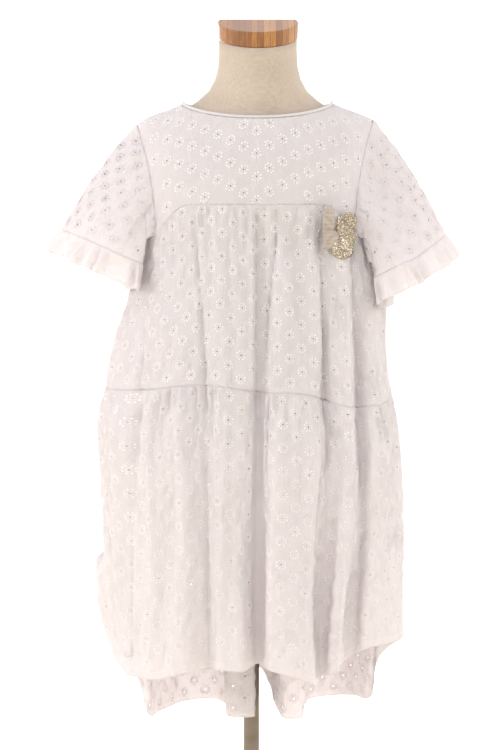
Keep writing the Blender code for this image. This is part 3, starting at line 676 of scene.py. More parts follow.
def stitch(name, cloth, line, finish, length=0.0021, pitch=0.0031, width=0.0004, out=0.0003):
    """A row of stitches on the cloth; line is a list of grid spots that the thread runs along."""
    verts, faces = [], []
    spots = [cloth.at(i, j, out) for i, j in line]
    run, k, wanted = 0.0, 0, 0.0
    while k < len(spots) - 1:
        step = spots[k + 1] - spots[k]
        while step.length > 1e-9 and wanted <= run + step.length:
            middle = spots[k] + step * ((wanted - run) / step.length)
            along = step.normalized()
            i, j = line[k]
            up = (cloth.at(i, j, 0.01) - cloth.at(i, j)).normalized()
            side = along.cross(up).normalized()
            base = len(verts)
            verts.append(middle - along * length / 2 - up * width * 0.6)
            for shift in (-0.25, 0.25):
                for c, s in ((1, 0), (0, 1), (-1, 0), (0, -1)):
                    verts.append(middle + along * length * shift + side * c * width + up * s * width * 0.8)
            verts.append(middle + along * length / 2 - up * width * 0.6)
            for c in range(4):
                n = (c + 1) % 4
                faces.append((base, base + 1 + c, base + 1 + n))
                faces.append((base + 1 + c, base + 5 + c, base + 5 + n, base + 1 + n))
                faces.append((base + 9, base + 5 + n, base + 5 + c))
            wanted += pitch
        run += step.length
        k += 1
    return sew_solid(name, verts, None, faces, finish)


def crumple(a, b, down, seed, depths):
    """How far crumpled cotton stands out: streaks down the cloth, creases, and a fine crinkle.

    a and b are the place across the cloth, b being 0 on a flat panel.
    """
    streak, crease, fine = depths
    return (streak * noise.noise(Vector((a * 42, b * 42 + down * 3, down * 6 + seed)))
            + crease * noise.noise(Vector((a * 115 + down * 30, b * 115, down * 62 + seed)))
            + fine * noise.noise(Vector((a * 300, b * 300 + seed, down * 240))))


def creases_at(point):
    """How far the front's creases and ridges move the cloth out at a point of the dress."""
    out = 0.0
    if point.y > 0.02:
        return out
    for rows in CREASES:
        if rows[0][0] > point.z > rows[-1][0] - 0.03:
            x, depth, left, right = through(rows, point.z)
            off = (point.x - x) / max(left if point.x < x else right, 0.002)
            if abs(off) < 3:
                out -= depth * math.exp(-abs(off) ** 1.5)
    return out * smooth((0.02 - point.y) / 0.03)


def crimp(across, down, seed):
    """Sharp upright creases, where the cloth has been crushed together."""
    wander = noise.noise(Vector((across * 60, down * 12, seed)))
    lines = noise.noise(Vector((across * 210 + 2 * wander, down * 22, seed + 5)))
    return -abs(lines) * (0.5 + noise.noise(Vector((across * 25, down * 14, seed + 9))))


def gathers(across, down, seed, pitch, depth, reach):
    """Puckers below a gathered seam, which open out as they run down."""
    loose = noise.noise(Vector((across * 30, down * 6, seed)))
    fine = math.sin(2 * math.pi * across / pitch + 5 * loose)
    broad = math.sin(2 * math.pi * across / (pitch * 2.6) + 7 * loose + seed)
    start = 1 - math.exp(-((down / 0.004) ** 2))
    return depth * start * ((0.6 + 0.8 * loose) * fine * math.exp(-down / reach)
                            + 0.9 * broad * (1 - math.exp(-down / reach)) * math.exp(-down / (reach * 4)))


# Finishes ----------------------------------------------------------------------------------------

class Nodes:
    """Adds nodes to a tree from left to right. A node given as a value stands for its first output."""

    def __init__(self, tree):
        self.tree, self.column = tree, 0

    def feed(self, sockets, values):
        for key, value in values.items():
            if isinstance(value, bpy.types.Node):
                value = value.outputs[0]
            if isinstance(value, bpy.types.NodeSocket):
                self.tree.links.new(value, sockets[key])
            else:
                sockets[key].default_value = value

    def add(self, kind, inputs=None, **settings):
        made = self.tree.nodes.new("ShaderNode" + kind)
        self.column += 1
        made.location = (self.column * 190 - 1900, -(self.column % 4) * 180)
        for key, value in settings.items():
            setattr(made, key, value)
        self.feed(made.inputs, inputs or {})
        return made

    def place(self):
        return self.add("TexCoord").outputs["Object"]

    def flat_place(self):
        return self.add("UVMap", uv_map="FlatCloth").outputs[0]

    def split(self, vector):
        return self.add("SeparateXYZ", {0: vector}).outputs

    def scaled(self, vector, factors):
        return self.add("VectorMath", {0: vector, 1: factors}, operation="MULTIPLY")

    def noise(self, vector, scale, detail, **more):
        return self.add("TexNoise", {"Vector": vector, "Scale": scale, "Detail": detail, **more})

    def maths(self, operation, first, second=0.0, third=0.0):
        return self.add("Math", {0: first, 1: second, 2: third}, operation=operation)

    def blend(self, share, first, second, kind="MIX"):
        return self.add("MixRGB", {0: share, 1: first, 2: second}, blend_type=kind)

    def times(self, first, second):
        return self.blend(1.0, first, second, "MULTIPLY")

    def ramp(self, mask, *stops):
        made = self.add("ValToRGB", {0: mask})
        elements = made.color_ramp.elements
        while len(elements) < len(stops):
            elements.new(0.5)
        for element, (position, colour) in zip(elements, stops):
            element.position = position
            element.color = (*colour, 1.0)
        return made

    def bump(self, height, strength, distance, **more):
        return self.add("Bump", {"Height": height, "Strength": strength, "Distance": distance, **more})

    def shader(self, colour, roughness, more):
        return self.add("BsdfPrincipled", {"Base Color": colour, "Roughness": roughness, **more})

    def surface(self, shader):
        self.add("OutputMaterial", {"Surface": shader})

    def sheer_surface(self, share, body, glow):
        """A surface that lets a share of the light through to its far side."""
        glow = self.add("BsdfTranslucent", glow)
        self.surface(self.add("MixShader", {0: share, 1: body, 2: glow}))


def new_group(name, inputs, outputs):
    """A shader node group; inputs are (label, kind, value), and outputs are labels of numbers."""
    tree = bpy.data.node_groups.new(name, "ShaderNodeTree")
    for label, kind, value in inputs:
        socket = tree.interface.new_socket(name=label, in_out="INPUT", socket_type="NodeSocket" + kind)
        if value is not None:
            socket.default_value = value
    for label in outputs:
        tree.interface.new_socket(name=label, in_out="OUTPUT", socket_type="NodeSocketFloat")
    given = tree.nodes.new("NodeGroupInput").outputs
    return tree, Nodes(tree), given, tree.nodes.new("NodeGroupOutput").inputs


def make_weave_group():
    """Plain weave: warp and weft threads that pass over each other, with uneven slubs."""
    tree, nodes, given, out = new_group(
        "PlainWeave",
        [("Place", "Vector", None), ("Threads", "Float", 1600.0), ("Slubs", "Float", 0.4)],
        ["Height", "Slub"])
    turns = nodes.maths("MULTIPLY", given["Threads"], math.pi)
    warp, weft = (nodes.maths("SINE", nodes.maths("MULTIPLY", side, turns))
                  for side in nodes.split(given["Place"])[:2])
    over = nodes.maths("MULTIPLY", nodes.maths("MULTIPLY", warp, weft), 0.5)
    wobble = nodes.noise(given["Place"], 90.0, 2.0)
    slub = nodes.noise(nodes.scaled(given["Place"], (60.0, 900.0, 300.0)), 1.0, 3.0)
    rough = nodes.maths("MULTIPLY", nodes.maths("SUBTRACT", slub, 0.5), given["Slubs"])
    raised = nodes.maths("ADD", over, nodes.maths("MULTIPLY", wobble, 0.2))
    nodes.feed(out, {"Height": nodes.maths("ADD", raised, rough), "Slub": slub})
    return tree


def make_crinkle_group():
    """Washed cotton: small creases that run every way, and soft patches of tone."""
    tree, nodes, given, out = new_group("WashedCrinkle", [("Place", "Vector", None)],
                                        ["Height", "Patches"])
    bend = nodes.noise(given["Place"], 35.0, 3.0)
    moved = nodes.blend(0.03, nodes.scaled(given["Place"], (1.5, 0.45, 1.0)), bend.outputs["Color"])
    creases = nodes.noise(moved, 120.0, 4.0, Roughness=0.6, Distortion=0.6)
    sharp = nodes.maths("ABSOLUTE", nodes.maths("SUBTRACT", creases, 0.5))
    nodes.feed(out, {"Height": nodes.maths("MULTIPLY", sharp, 2.0), "Patches": bend})
    return tree


def new_finish(name):
    finish = bpy.data.materials.new(name)
    finish.use_nodes = True
    finish.node_tree.nodes.clear()
    return finish, Nodes(finish.node_tree)


def cotton(name, light, shade, weave, crinkle, through_light=0.48, creases=0.0017):
    """Thin cotton that lets light through. `light` and `shade` are its tone and its creased tone."""
    finish, nodes = new_finish(name)
    place = nodes.flat_place()
    woven = nodes.add("Group", {"Place": place}, node_tree=weave).outputs
    washed = nodes.add("Group", {"Place": place}, node_tree=crinkle).outputs
    tone = nodes.ramp(washed["Patches"], (0.30, shade), (0.68, light))
    slubbed = nodes.blend(woven["Slub"], tone, (*light, 1.0))
    fine = nodes.bump(woven["Height"], 0.55, 0.00012)
    bump = nodes.bump(washed["Height"], 0.6, creases, Normal=fine)
    body = nodes.shader(slubbed, 0.88, {"Specular IOR Level": 0.2, "Sheen Weight": 0.12,
                                        "Sheen Roughness": 0.5, "Normal": bump})
    nodes.sheer_surface(through_light, body, {"Color": slubbed, "Normal": bump})
    return finish


def satin_thread(name, colour, through_light):
    """Embroidery thread: fine strands that run across each petal."""
    finish, nodes = new_finish(name)
    strands = nodes.noise(nodes.place(), 1500.0, 2.0)
    tone = nodes.ramp(strands, (0.25, tuple(c * 0.90 for c in colour)), (0.75, colour))
    body = nodes.shader(tone, 0.55, {"Specular IOR Level": 0.35, "Sheen Weight": 0.1,
                                     "Normal": nodes.bump(strands, 0.5, 0.0002)})
    nodes.sheer_surface(through_light, body, {"Color": tone})
    return finish


def linen_cover(weave):
    finish, nodes = new_finish("cream_linen_cover")
    place = nodes.place()
    woven = nodes.add("Group", {"Place": place, "Threads": 1000.0, "Slubs": 0.9},
                      node_tree=weave).outputs
    patches = nodes.noise(place, 22.0, 3.0)
    tone = nodes.ramp(patches, (0.3, (0.460, 0.380, 0.315)), (0.7, (0.520, 0.440, 0.372)))
    thread = nodes.ramp(woven["Slub"], (0.25, (0.86, 0.84, 0.80)), (0.75, (1.0, 1.0, 1.0)))
    nodes.surface(nodes.shader(nodes.times(tone, thread), 0.9, {
        "Specular IOR Level": 0.2, "Sheen Weight": 0.15,
        "Normal": nodes.bump(woven["Height"], 0.6, 0.00025)}))
    return finish


def layered_wood():
    """Glued strips of a pale wood, each with its own tone, under a satin lacquer."""
    finish, nodes = new_finish("striped_wood_lacquered")
    place = nodes.place()
    strips = nodes.maths("MULTIPLY", nodes.split(place)[0], 1 / STRIP_WIDTH)
    strip = nodes.maths("FLOOR", strips)
    tint = nodes.add("TexWhiteNoise", {"W": strip}, noise_dimensions="1D")
    shifted = nodes.add("CombineXYZ", {2: nodes.maths("MULTIPLY", strip, 7.3)})
    grain_at = nodes.add("VectorMath", {0: nodes.scaled(place, (700.0, 60.0, 60.0)), 1: shifted},
                         operation="ADD")
    grain = nodes.noise(grain_at, 1.0, 4.0, Roughness=0.65)
    tone = nodes.ramp(tint, (0.0, (0.240, 0.088, 0.020)), (0.5, (0.350, 0.146, 0.034)),
                      (1.0, (0.460, 0.218, 0.060)))
    veins = nodes.ramp(grain, (0.32, (0.62, 0.52, 0.45)), (0.62, (1.0, 1.0, 1.0)))
    off_middle = nodes.maths("ABSOLUTE", nodes.maths("SUBTRACT", nodes.maths("FRACT", strips), 0.5))
    joint = nodes.maths("LESS_THAN", off_middle, 0.46)
    colour = nodes.blend(joint, (0.13, 0.05, 0.02, 1.0), nodes.times(tone, veins))
    nodes.surface(nodes.shader(colour, nodes.maths("MULTIPLY_ADD", grain, 0.2, 0.35), {
        "Coat Weight": 0.25, "Coat Roughness": 0.3, "Normal": nodes.bump(grain, 0.25, 0.0003)}))
    return finish


def brushed_steel():
    finish, nodes = new_finish("brushed_steel_tube")
    place = nodes.place()
    lines = nodes.noise(nodes.scaled(place, (2600.0, 2600.0, 30.0)), 1.0, 2.0)
    dust = nodes.noise(place, 30.0, 4.0)
    colour = nodes.ramp(dust, (0.3, (0.165, 0.133, 0.108)), (0.7, (0.245, 0.207, 0.176)))
    nodes.surface(nodes.shader(colour, nodes.maths("MULTIPLY_ADD", lines, 0.25, 0.28), {
        "Metallic": 1.0, "Normal": nodes.bump(lines, 0.2, 0.0001)}))
    return finish


def glitter_cloth():
    """Cloth covered with fine gold flakes, whose colours run from dark to near white: painted glints that
    stand in for flakes catching the light one by one.
    """
    finish, nodes = new_finish("gold_glitter_painted_glints")
    flakes = nodes.add("TexVoronoi", {"Vector": nodes.place(), "Scale": 1100.0})
    one = nodes.split(flakes.outputs["Color"])[0]
    # The brightest flake colours, up to near white, are painted glints.
    colour = nodes.ramp(one, (0.0, (0.110, 0.088, 0.066)), (0.45, (0.300, 0.245, 0.180)),
                        (0.8, (0.480, 0.405, 0.305)), (1.0, (0.95, 0.88, 0.74)))
    metal = nodes.maths("MULTIPLY", nodes.maths("GREATER_THAN", one, 0.3), 0.75)
    nodes.surface(nodes.shader(colour, 0.38, {"Metallic": metal,
                                              "Normal": nodes.bump(one, 0.9, 0.0006)}))
    return finish


def ribbed_ribbon():
    """Grosgrain: close ribs across the ribbon, in a dull beige, with painted shade in the grooves between
    them.
    """
    finish, nodes = new_finish("beige_grosgrain")
    place = nodes.flat_place()
    turns = nodes.maths("MULTIPLY", nodes.split(place)[1], 2 * math.pi / RIB_PITCH)
    rib = nodes.maths("SINE", turns)
    patches = nodes.noise(place, 180.0, 3.0)
    colour = nodes.ramp(patches, (0.3, (0.400, 0.330, 0.285)), (0.7, (0.560, 0.478, 0.420)))
    # The grooves between the ribs are darkened in the colour: painted shade in the recesses.
    painted_groove_shade = nodes.ramp(nodes.maths("MULTIPLY_ADD", rib, 0.5, 0.5), (0.0, (0.60, 0.58, 0.55)),
                        (0.6, (1.0, 1.0, 1.0)))
    nodes.surface(nodes.shader(nodes.times(colour, painted_groove_shade), 0.8, {
        "Sheen Weight": 0.2, "Normal": nodes.bump(rib, 0.7, 0.0004)}))
    return finish


# Dress panels ------------------------------------------------------------------------------------

CELLS, COARSE_CELLS = (10, 5), (8, 4)  # grid cells to a repeat of the pattern, across and down
CELL_ACROSS, CELL_DOWN = REPEAT_ACROSS / CELLS[0], REPEAT_DOWN / CELLS[1]
SIDE_SEAM = math.pi / 2 - 0.0004  # angle of the side seams, whose edges just don't touch
FINE_STEPS = 360  # steps in measuring an edge
YOKE_COLUMNS, YOKE_ROWS = 94, 76
YOKE_DAISIES_FROM = {-1: (2, 3), 1: (4, 2)}  # first eyelet's cell on each yoke
SLOPES = 48  # steps in measuring the cloth from the shoulder down


def shoulder_runs(face, x):
    """Slopes from the ridge to the chest, and the cloth's length down to each."""
    slopes = [math.pi / 2 * (k / SLOPES) ** 1.3 for k in range(SLOPES + 1)]
    return slopes, runs_along([over_shoulder(face, x, slope) for slope in slopes])


def look_up(keys, values, at):
    """The value at a place between rising keys."""
    k = 0
    while k < len(keys) - 2 and keys[k + 1] < at:
        k += 1
    t = (at - keys[k]) / max(keys[k + 1] - keys[k], 1e-9)
    return mix(values[k], values[k + 1], min(max(t, 0.0), 1.0))


def inside_ranges(ranges):
    """A test of whether a spot lies on a panel that is cut to the ranges of its columns."""
    def test(i, j):
        k = min(max(int(i), 0), len(ranges) - 2)
        t = i - k
        top = mix(ranges[k][0], ranges[k + 1][0], t)
        low = mix(ranges[k][1], ranges[k + 1][1], t)
        return top + 0.35 < j < low - 0.35
    return test


def cell_fits(ranges):
    inside = inside_ranges(ranges)

    def test(i, j):
        return all(inside(i + a, j + b) for a in (-0.4, 1.4) for b in (-0.4, 1.4))
    return test


def stand_for(panel, node, with_pieces=()):
    """The panel takes a CAD node's place, and it and its trimmings get their body."""
    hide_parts(node)
    for piece in (panel, *with_pieces):
        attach(piece, "root")


def sew_panel(node, cloth, cells, finishes, ranges=None, thread="thread", hem=None):
    """Cuts, embroiders and, where it has a hem, stitches a panel of the dress: one sheet."""
    panel = cut_cloth("cotton_" + node, cloth, cells, finishes["cotton"], column_range=ranges)
    inside = inside_ranges(ranges) if ranges else None
    pieces = [embroider(node + "_embroidery", cloth, cells, finishes[thread], inside)]
    if hem:
        pieces.append(stitch(node + "_hem_stitches", cloth, hem, finishes["thread"]))
    stand_for(panel, node, pieces)


def dress_yoke(face, finishes):
    middle = YOKE_COLUMNS // 2
    ranges, measures = [], []
    for i in range(YOKE_COLUMNS + 1):
        x = (i - middle) * CELL_ACROSS
        slopes, runs = shoulder_runs(face, x)
        measures.append((slopes, runs))
        top = 0.0002
        if abs(x - NECK_X) < NECK_WIDTH:
            turn = math.asin((x - NECK_X) / NECK_WIDTH)
            top = max(top, look_up(slopes, runs, slope_at(x, neckline(face, turn)[1])))
        if abs(x) <= ARM_CORNER_X:
            z = yoke_seam_z(face, x)
        else:
            t = 1 - math.sqrt((abs(x) - ARM_CORNER_X) / (ARM_TOP_X - ARM_CORNER_X))
            z = mix(ridge_height(math.copysign(ARM_TOP_X, x)), ARM_CORNER_Z, t)
        low = max(look_up(slopes, runs, slope_at(x, z)), top + 0.0003)
        ranges.append((top / CELL_DOWN, low / CELL_DOWN))

    def place(i, j):
        slopes, runs = measures[i]
        return over_shoulder(face, (i - middle) * CELL_ACROSS, look_up(runs, slopes, j * CELL_DOWN))

    cloth = Cloth(place, YOKE_COLUMNS, YOKE_ROWS, CELL_ACROSS, CELL_DOWN, flip=face > 0)

    def height(i, j):
        top, low = ranges[i]
        edge = smooth(min(j - top, low - j) * CELL_DOWN / 0.010)
        x = (i - middle) * CELL_ACROSS
        return edge * crumple(x, 0.0, j * CELL_DOWN, 3 * face, CRUMPLE["yoke"])

    cloth.swell(height)
    cells = daisies_on(cloth, CELLS, YOKE_DAISIES_FROM[face], cell_fits(ranges))
    sew_panel("yoke_" + FACES[face], cloth, cells, finishes, ranges)


def edge_fade(i, columns, across, reach=0.009):
    return smooth(min(i, columns - i) * across / reach)


def dress_upper_tier(face, finishes):
    angles, width = even_stations(lambda angle: upper_tier(face, angle, 1.0), -SIDE_SEAM, SIDE_SEAM,
                                  CELL_ACROSS)
    columns = len(angles) - 1
    lengths = [(upper_tier(face, a, 0.0) - upper_tier(face, a, 1.0)).length for a in angles]
    rows = math.ceil(max(lengths) / CELL_DOWN) + 1
    corner = abs(angle_at(ARM_CORNER_X, CHEST_Z))
    ranges = [(rows - length / CELL_DOWN, rows) for length in lengths]

    def place(i, j):
        share = 1 - (rows - j) * CELL_DOWN / lengths[i]
        return upper_tier(face, angles[i], max(share, -0.03))

    cloth = Cloth(place, columns, rows, CELL_ACROSS, CELL_DOWN, flip=face > 0)

    def height(i, j):
        down = max(j - ranges[i][0], 0.0) * CELL_DOWN
        up = (rows - j) * CELL_DOWN
        edge = edge_fade(i, columns, CELL_ACROSS) * smooth(up / 0.008) * smooth(down / 0.005)
        puckers = gathers(i * CELL_ACROSS, down, 5 * face, pitch=0.0140, depth=0.0020, reach=0.045)
        puckers *= smooth((corner + 0.06 - abs(angles[i])) / 0.16)
        crushed = 0.0018 + 0.0060 * smooth((cloth.points[i][j].x - 0.085) / 0.03)
        folds = creases_at(cloth.points[i][j]) * smooth(down / 0.02)
        folds *= edge_fade(i, columns, CELL_ACROSS)
        return folds + edge * (puckers + crushed * crimp(i * CELL_ACROSS, j * CELL_DOWN, 4 * face)
                               + crumple(i * CELL_ACROSS, 0.0, j * CELL_DOWN, 11 * face,
                                         CRUMPLE["tier1"]))

    cloth.swell(height)
    cells = daisies_on(cloth, CELLS, (3, rows % CELLS[1]), cell_fits(ranges))
    sew_panel("tier1_" + FACES[face], cloth, cells, finishes,
              ranges)


def side_kick(angle, share):
    """The crumpled edge of the hem that stands out beside the wearer's right leg."""
    near = smooth((math.degrees(-angle) - 72) / 16)
    rise = smooth((share - 0.69) / 0.05) * (1 - 0.75 * smooth((share - 0.92) / 0.08))
    jag = 1 + 0.35 * noise.noise(Vector((angle * 7, share * 20, 1.5)))
    return Vector((-SIDE_KICK * near * rise * jag, 0.0, 0.0))


def dress_lower_tier(face, finishes):
    repeat = CELLS if face < 0 else COARSE_CELLS
    across, down = REPEAT_ACROSS / repeat[0], REPEAT_DOWN / repeat[1]
    angles, width = even_stations(lambda angle: lower_tier(face, angle, 1.0), -SIDE_SEAM, SIDE_SEAM,
                                  across)
    columns = len(angles) - 1
    length = LOWER_TIER_LENGTH[face]
    rows = round(length / down)

    def place(i, j):
        share = j / rows
        return lower_tier(face, angles[i], share) + side_kick(angles[i], share)

    cloth = Cloth(place, columns, rows, across, down, flip=face > 0)

    def height(i, j):
        run, up = j * down, (rows - j) * down
        edge = edge_fade(i, columns, across) * smooth(run / 0.005)
        puckers = gathers(i * across, run, 9 * face, pitch=0.0145, depth=0.0028, reach=0.045)
        fold = HEM_FOLD if up < HEM_DEPTH else 0.0
        spot = cloth.points[i][j]
        crushed = 0.0024 + 0.0060 * smooth((spot.x - 0.090) / 0.03) * (1 if face < 0 else 0)
        crinkle = crumple(i * across, 0.0, run, 17 * face, CRUMPLE["tier2"])
        crinkle += crushed * crimp(i * across, run, 6 * face)
        folds = creases_at(spot) * edge_fade(i, columns, across) if face < 0 else 0.0
        return folds + edge * (puckers + crinkle * (0.4 + 0.6 * smooth(up / 0.03))) + fold

    cloth.swell(height)

    def beside_valley(i, j):
        return face > 0 or abs(cloth.points[i][j].x - FRONT_VALLEY_X) > 0.008

    cells = daisies_on(cloth, repeat, (2, 3), beside_valley)
    cells = [cell for cell in cells if (rows - cell[1]) * down > HEM_DEPTH + 0.003]
    hem_row = rows - (HEM_DEPTH - 0.001) / down
    hem = [(i * columns / 600, hem_row) for i in range(601)]
    sew_panel("tier2_" + FACES[face], cloth, cells, finishes,
              thread="thread" if face < 0 else "sheer_thread", hem=hem)


def round_tube(i, columns, girth):
    """A place on a circle for a column of a tube, so that its crumples meet at the last one."""
    angle, radius = 2 * math.pi * i / columns, girth / (2 * math.pi)
    return radius * math.cos(angle), radius * math.sin(angle)


def dress_sleeve(name, finishes):
    def cuff(turn):
        return sleeve_point(name, turn % 1, 0.75)

    turns, width = even_stations(cuff, 0, 1, CELL_ACROSS)
    columns = len(turns) - 1
    lengths = [runs_along([sleeve_point(name, turn, k / 8) for k in range(9)])[-1]
               for turn in turns[:-1]]
    rows = math.ceil(max(lengths) / CELL_DOWN) + 1
    ranges = [(rows - length / CELL_DOWN, rows) for length in lengths]
    ranges.append(ranges[0])

    def place(i, j):
        return sleeve_point(name, turns[i], max(1 - (rows - j) * CELL_DOWN / lengths[i], -0.02))

    cloth = Cloth(place, columns, rows, CELL_ACROSS, CELL_DOWN, tube=True, flip=name == "left")
    seed = 23.0 if name == "left" else 31.0

    def height(i, j):
        down, up = max(j - ranges[i][0], 0.0) * CELL_DOWN, (rows - j) * CELL_DOWN
        edge = smooth(down / 0.008) * smooth(up / 0.006)
        return edge * crumple(*round_tube(i, columns, width), j * CELL_DOWN, seed, CRUMPLE["sleeve"])

    cloth.swell(height)
    cells = daisies_on(cloth, CELLS, (1, rows % CELLS[1]), cell_fits(ranges))
    cells = [cell for cell in cells if cell[0] < columns - columns % CELLS[0]]
    sew_panel("sleeve_" + name, cloth, cells, finishes, ranges,
              thread="sheer_thread")
    dress_frill(name, width, seed, finishes)


def dress_frill(name, cuff_width, seed, finishes):
    columns, rows = 300, 12
    width = cuff_width * FRILL_FULLNESS
    across, down = width / columns, FRILL_LENGTH / rows
    cloth = Cloth(lambda i, j: frill_point(name, i / columns, j / rows), columns, rows, across, down,
                  tube=True, flip=name == "left")

    def height(i, j):
        ring = round_tube(i, columns, width)
        fold = HEM_FOLD if j >= rows - 2 else 0.0
        return fold + smooth(j * down / 0.004) * crumple(*ring, j * down, seed + 2, CRUMPLE["frill"])

    cloth.swell(height)
    frill = cut_cloth("cotton_frill_" + name, cloth, [], finishes["frill"])
    pieces = []
    for use, row, pitch in (("_hem_stitches", rows - 2.3, 0.0028), ("_gathering", 0.5, 0.0026)):
        line = [(i * columns / 400, row) for i in range(400)]
        pieces.append(stitch("frill_" + name + use, cloth, line, finishes["thread"], pitch=pitch))
    stand_for(frill, "frill_" + name, pieces)


def dress_binding(finishes):
    """The rolled band round the neck, with the ripples that its stitching draws up."""
    count, corners = 240, 12
    verts, faces, flats = [], [], []
    for i in range(count):
        turn = 2 * math.pi * i / count
        face = -1 if math.cos(turn) >= 0 else 1
        x, z = neckline(face, math.asin(math.sin(turn)))
        middle = over_shoulder(face, x, slope_at(x, z))
        inward = Vector((-x, -middle.y, 0.0)).normalized()
        up = (inward * 0.55 + Vector((0, 0, 0.83))).normalized()
        out = (inward * -0.83 + Vector((0, 0, 0.55))).normalized()
        middle += up * (BINDING_WIDTH / 2 - 0.0002) + out * 0.0003
        ripple = 0.00016 * noise.noise(middle * 260)
        for corner in range(corners):
            angle = 2 * math.pi * corner / corners
            high, wide = math.sin(angle), math.cos(angle)
            full = 1 + 0.12 * noise.noise(middle * 400 + Vector((0, 0, corner)))
            verts.append(middle + up * high * BINDING_WIDTH / 2
                         + out * (wide * BINDING_THICK / 2 * full + ripple))
    around, girth = 2 * math.pi * NECK_WIDTH, 2.2 * BINDING_WIDTH
    for i in range(count):
        k = (i + 1) % count
        for corner in range(corners):
            if corner in BINDING_OPEN:
                continue
            n = (corner + 1) % corners
            faces.append([i * corners + corner, k * corners + corner, k * corners + n, i * corners + n])
            for a, b in ((i, corner), (i + 1, corner), (i + 1, corner + 1), (i, corner + 1)):
                flats.append((a / count * around, b / corners * girth))
    binding = sew_solid("neck_binding_rolled", verts, flats, faces, finishes["binding"])
    stand_for(binding, "neck_binding")


# Brooch ------------------------------------------------------------------------------------------

def brooch_point(across, up, out):
    x, z = BROOCH_AT
    base = on_ring(-1, angle_at(x, z), z)
    facing = Vector((math.sin(BROOCH_TURN), -math.cos(BROOCH_TURN), 0.0))
    side = Vector((math.cos(BROOCH_TURN), math.sin(BROOCH_TURN), 0.0))
    return base + side * across + Vector((0, 0, up)) + facing * (BROOCH_OUT + out)


def pin_brooch(finishes):
    columns, rows = WING_GRID

    def wing(i, j):
        degrees, out = mix(WING_REACH[0][0], WING_REACH[-1][0], i / columns), j / rows
        angle = math.radians(degrees)
        length = mix(0.003, through(WING_REACH, degrees)[0], out)
        lift = 0.001 + 0.003 * out + 0.0012 * math.sin(math.radians(degrees * WING_PLEATS)) * out
        return brooch_point(length * math.cos(angle), 0.010 + length * math.sin(angle), lift)

    cloth = Cloth(wing, columns, rows, 0.0009, 0.002)
    cloth.swell(lambda i, j: 0.0005 * noise.noise(Vector((i * 0.35, j * 0.5, 2.0))))
    piece = cut_cloth("glitter_bow_wing", cloth, [], finishes["glitter"], thickness=0.0012)
    stand_for(piece, "brooch_wing")

    def loop(i, j):
        v, k = j / 44, i / 16
        low = v > RIBBON_CREASE
        part = (v - RIBBON_CREASE) / (1 - RIBBON_CREASE) if low else v / RIBBON_CREASE
        puff = max(math.sin(math.pi * min(part * 0.94 + 0.03, 1.0)), 0.0) ** 0.6
        left = -0.0210 + (0.004 * (1 - smooth(part / 0.3)) if not low else 0.0015 * part)
        right = mix(-0.0080, -0.0045, smooth(part / 0.25))
        if low:
            right = through(((0.0, -0.0070), (0.38, 0.0010), (0.60, -0.0030), (1.0, -0.0110)), part)[0]
        crown = math.sin(math.pi * k) ** 0.7
        lift = RIBBON_LIFT + RIBBON_PUFF * puff * (0.25 + 0.75 * crown)
        return brooch_point(mix(left, right, k), mix(RIBBON_TOP, RIBBON_FOOT, v), lift)

    cloth = Cloth(loop, 16, 44, 0.0011, 0.0014)
    piece = cut_cloth("ribbon_bow_loops", cloth, [], finishes["ribbon"], thickness=0.0010)
    stand_for(piece, "brooch_ribbon")

    verts, faces, rings, sides = [], [], 19, 20
    for k in range(rings):
        v = k / (rings - 1)
        size = 0.0008 + 0.0020 * math.sin(math.pi * v)
        for i in range(sides):
            angle = 2 * math.pi * i / sides
            tuck = 1 + 0.10 * math.sin(5 * angle + 3)
            verts.append(brooch_point(size * tuck * math.cos(angle), mix(0.002, 0.020, v),
                                      0.0065 + size * tuck * math.sin(angle)))
    for k in range(rings - 1):
        for i in range(sides):
            n = (i + 1) % sides
            faces.append([k * sides + i, k * sides + n, (k + 1) * sides + n, (k + 1) * sides + i])
    faces.append(list(range(sides)))
    faces.append(list(range((rings - 1) * sides, rings * sides)))
    knot = sew_solid("glitter_bow_pinch", verts, None, faces, finishes["glitter"])
    stand_for(knot, "brooch_pinch")


# Dress form --------------------------------------------------------------------------------------

def cover_torso(finish):
    """The linen cover: the torso's own form, merged and shaded smooth."""
    source = bpy.data.objects["form_torso"]
    bpy.ops.object.select_all(action="DESELECT")
    torso = source.copy()
    torso.data = source.data.copy()
    torso.name = "torso_linen_cover"
    for key in [key for key in torso.keys() if key.startswith("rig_")]:
        del torso[key]
    bpy.context.scene.collection.objects.link(torso)
    build = bmesh.new()
    build.from_mesh(torso.data)
    bmesh.ops.remove_doubles(build, verts=build.verts, dist=0.00002)
    bmesh.ops.recalc_face_normals(build, faces=build.faces)
    build.to_mesh(torso.data)
    build.free()
    torso.data.materials.clear()
    torso.data.materials.append(finish)
    torso.data.shade_smooth()
    torso.data.set_sharp_from_angle(angle=math.radians(48))
    stand_for(torso, "form_torso")


def refinish(node, finish):
    piece = bpy.data.objects[node]
    piece.material_slots[0].material = finish


# Stage -------------------------------------------------------------------------------------------

CAMERA_AT, CAMERA_AIM = Vector((-0.00175, -2.42, 0.865)), Vector((-0.00175, -0.020, 0.684))
PICTURE_HEIGHT = 0.9375  # height that the picture takes in at the dress


def set_camera():
    data = bpy.data.cameras.new("portrait_camera")
    camera = bpy.data.objects.new("portrait_camera", data)
    bpy.context.scene.collection.objects.link(camera)
    camera.location = CAMERA_AT
    look = CAMERA_AIM - CAMERA_AT
    camera.rotation_euler = look.to_track_quat("-Z", "Y").to_euler()
    data.sensor_fit = "VERTICAL"
    data.sensor_height = 24.0
    data.lens = 24.0 * look.length / PICTURE_HEIGHT
    bpy.context.scene.camera = camera


def soft_light(name, at, aim, size, power, colour):
    data = bpy.data.lights.new(name, "AREA")
    data.shape = "DISK"
    data.size, data.energy, data.color = size, power, colour
    light = bpy.data.objects.new(name, data)
    bpy.context.scene.collection.objects.link(light)
    light.location = at
    light.rotation_euler = (Vector(aim) - Vector(at)).to_track_quat("-Z", "Y").to_euler()
    light.visible_camera = False


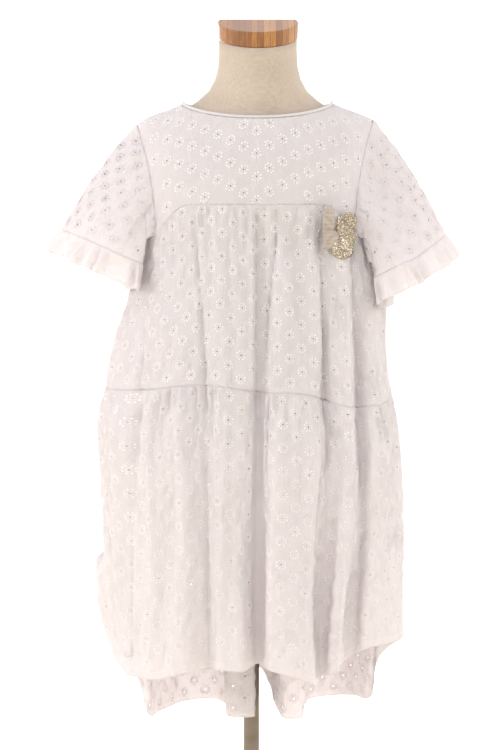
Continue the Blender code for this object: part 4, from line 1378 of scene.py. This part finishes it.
def set_stage():
    world = bpy.data.worlds.new("white_studio")
    bpy.context.scene.world = world
    world.use_nodes = True
    back = world.node_tree.nodes["Background"]
    back.inputs["Color"].default_value = (1.0, 1.0, 1.0, 1.0)
    back.inputs["Strength"].default_value = WORLD_LIGHT
    bpy.context.scene.view_settings.view_transform = "Standard"

    bpy.ops.object.select_all(action="DESELECT")
    bpy.ops.mesh.primitive_plane_add(size=60.0, location=(0, 0, -0.0005))
    floor = bpy.context.object
    floor.name = "pale_floor"
    finish, nodes = new_finish("white_paper_floor")
    place = nodes.place()
    near = nodes.add("Clamp", {0: nodes.maths("SUBTRACT", 1.15, nodes.split(place)[1])})
    cream = nodes.blend(near, (0.97, 0.97, 0.97, 1.0), (0.97, 0.92, 0.76, 1.0))
    grain = nodes.noise(place, 40.0, 3.0)
    tone = nodes.ramp(grain, (0.3, (0.985, 0.985, 0.985)), (0.7, (1.0, 1.0, 1.0)))
    nodes.surface(nodes.shader(nodes.times(cream, tone), 0.95, {"Specular IOR Level": 0.1}))
    floor.data.materials.append(finish)
    soft_light("window_left", (-2.6, -0.9, 1.4), (0, 0, 0.75), 1.2, 24, (1.0, 0.96, 0.96))
    soft_light("window_right", (2.6, -0.2, 1.2), (0, 0, 0.7), 1.0, 13, (1.0, 0.95, 0.93))
    soft_light("behind", (-0.5, 2.4, 0.6), (0, 0, 0.5), 1.8, 68, (1.0, 0.97, 0.95))


def main():
    set_camera()
    set_stage()
    weave, crinkle = make_weave_group(), make_crinkle_group()
    finishes = {
        "cotton": cotton("eyelet_cotton", (0.845, 0.805, 0.820), (0.812, 0.770, 0.785), weave, crinkle),
        "frill": cotton("frill_cotton", (0.860, 0.820, 0.828), (0.826, 0.786, 0.794), weave, crinkle),
        # The neck binding is the same white cotton as the dress; its darker tones are painted shade.
        "binding": cotton("binding_cotton_painted_shade", (0.62, 0.588, 0.588), (0.57, 0.540, 0.538), weave, crinkle,
                          through_light=0.1, creases=0.0005),
        "thread": satin_thread("white_satin_thread", (0.955, 0.925, 0.925), 0.08),
        "sheer_thread": satin_thread("sheer_satin_thread", (0.975, 0.955, 0.950), 0.80),
        "glitter": glitter_cloth(),
        "ribbon": ribbed_ribbon(),
    }
    for face in (-1, 1):
        dress_yoke(face, finishes)
        dress_upper_tier(face, finishes)
        dress_lower_tier(face, finishes)
    dress_binding(finishes)
    for name in SLEEVES:
        dress_sleeve(name, finishes)
    pin_brooch(finishes)
    cover_torso(linen_cover(weave))
    refinish("form_cap", layered_wood())
    steel = brushed_steel()
    refinish("form_pole", steel)
    refinish("form_base", steel)


main()
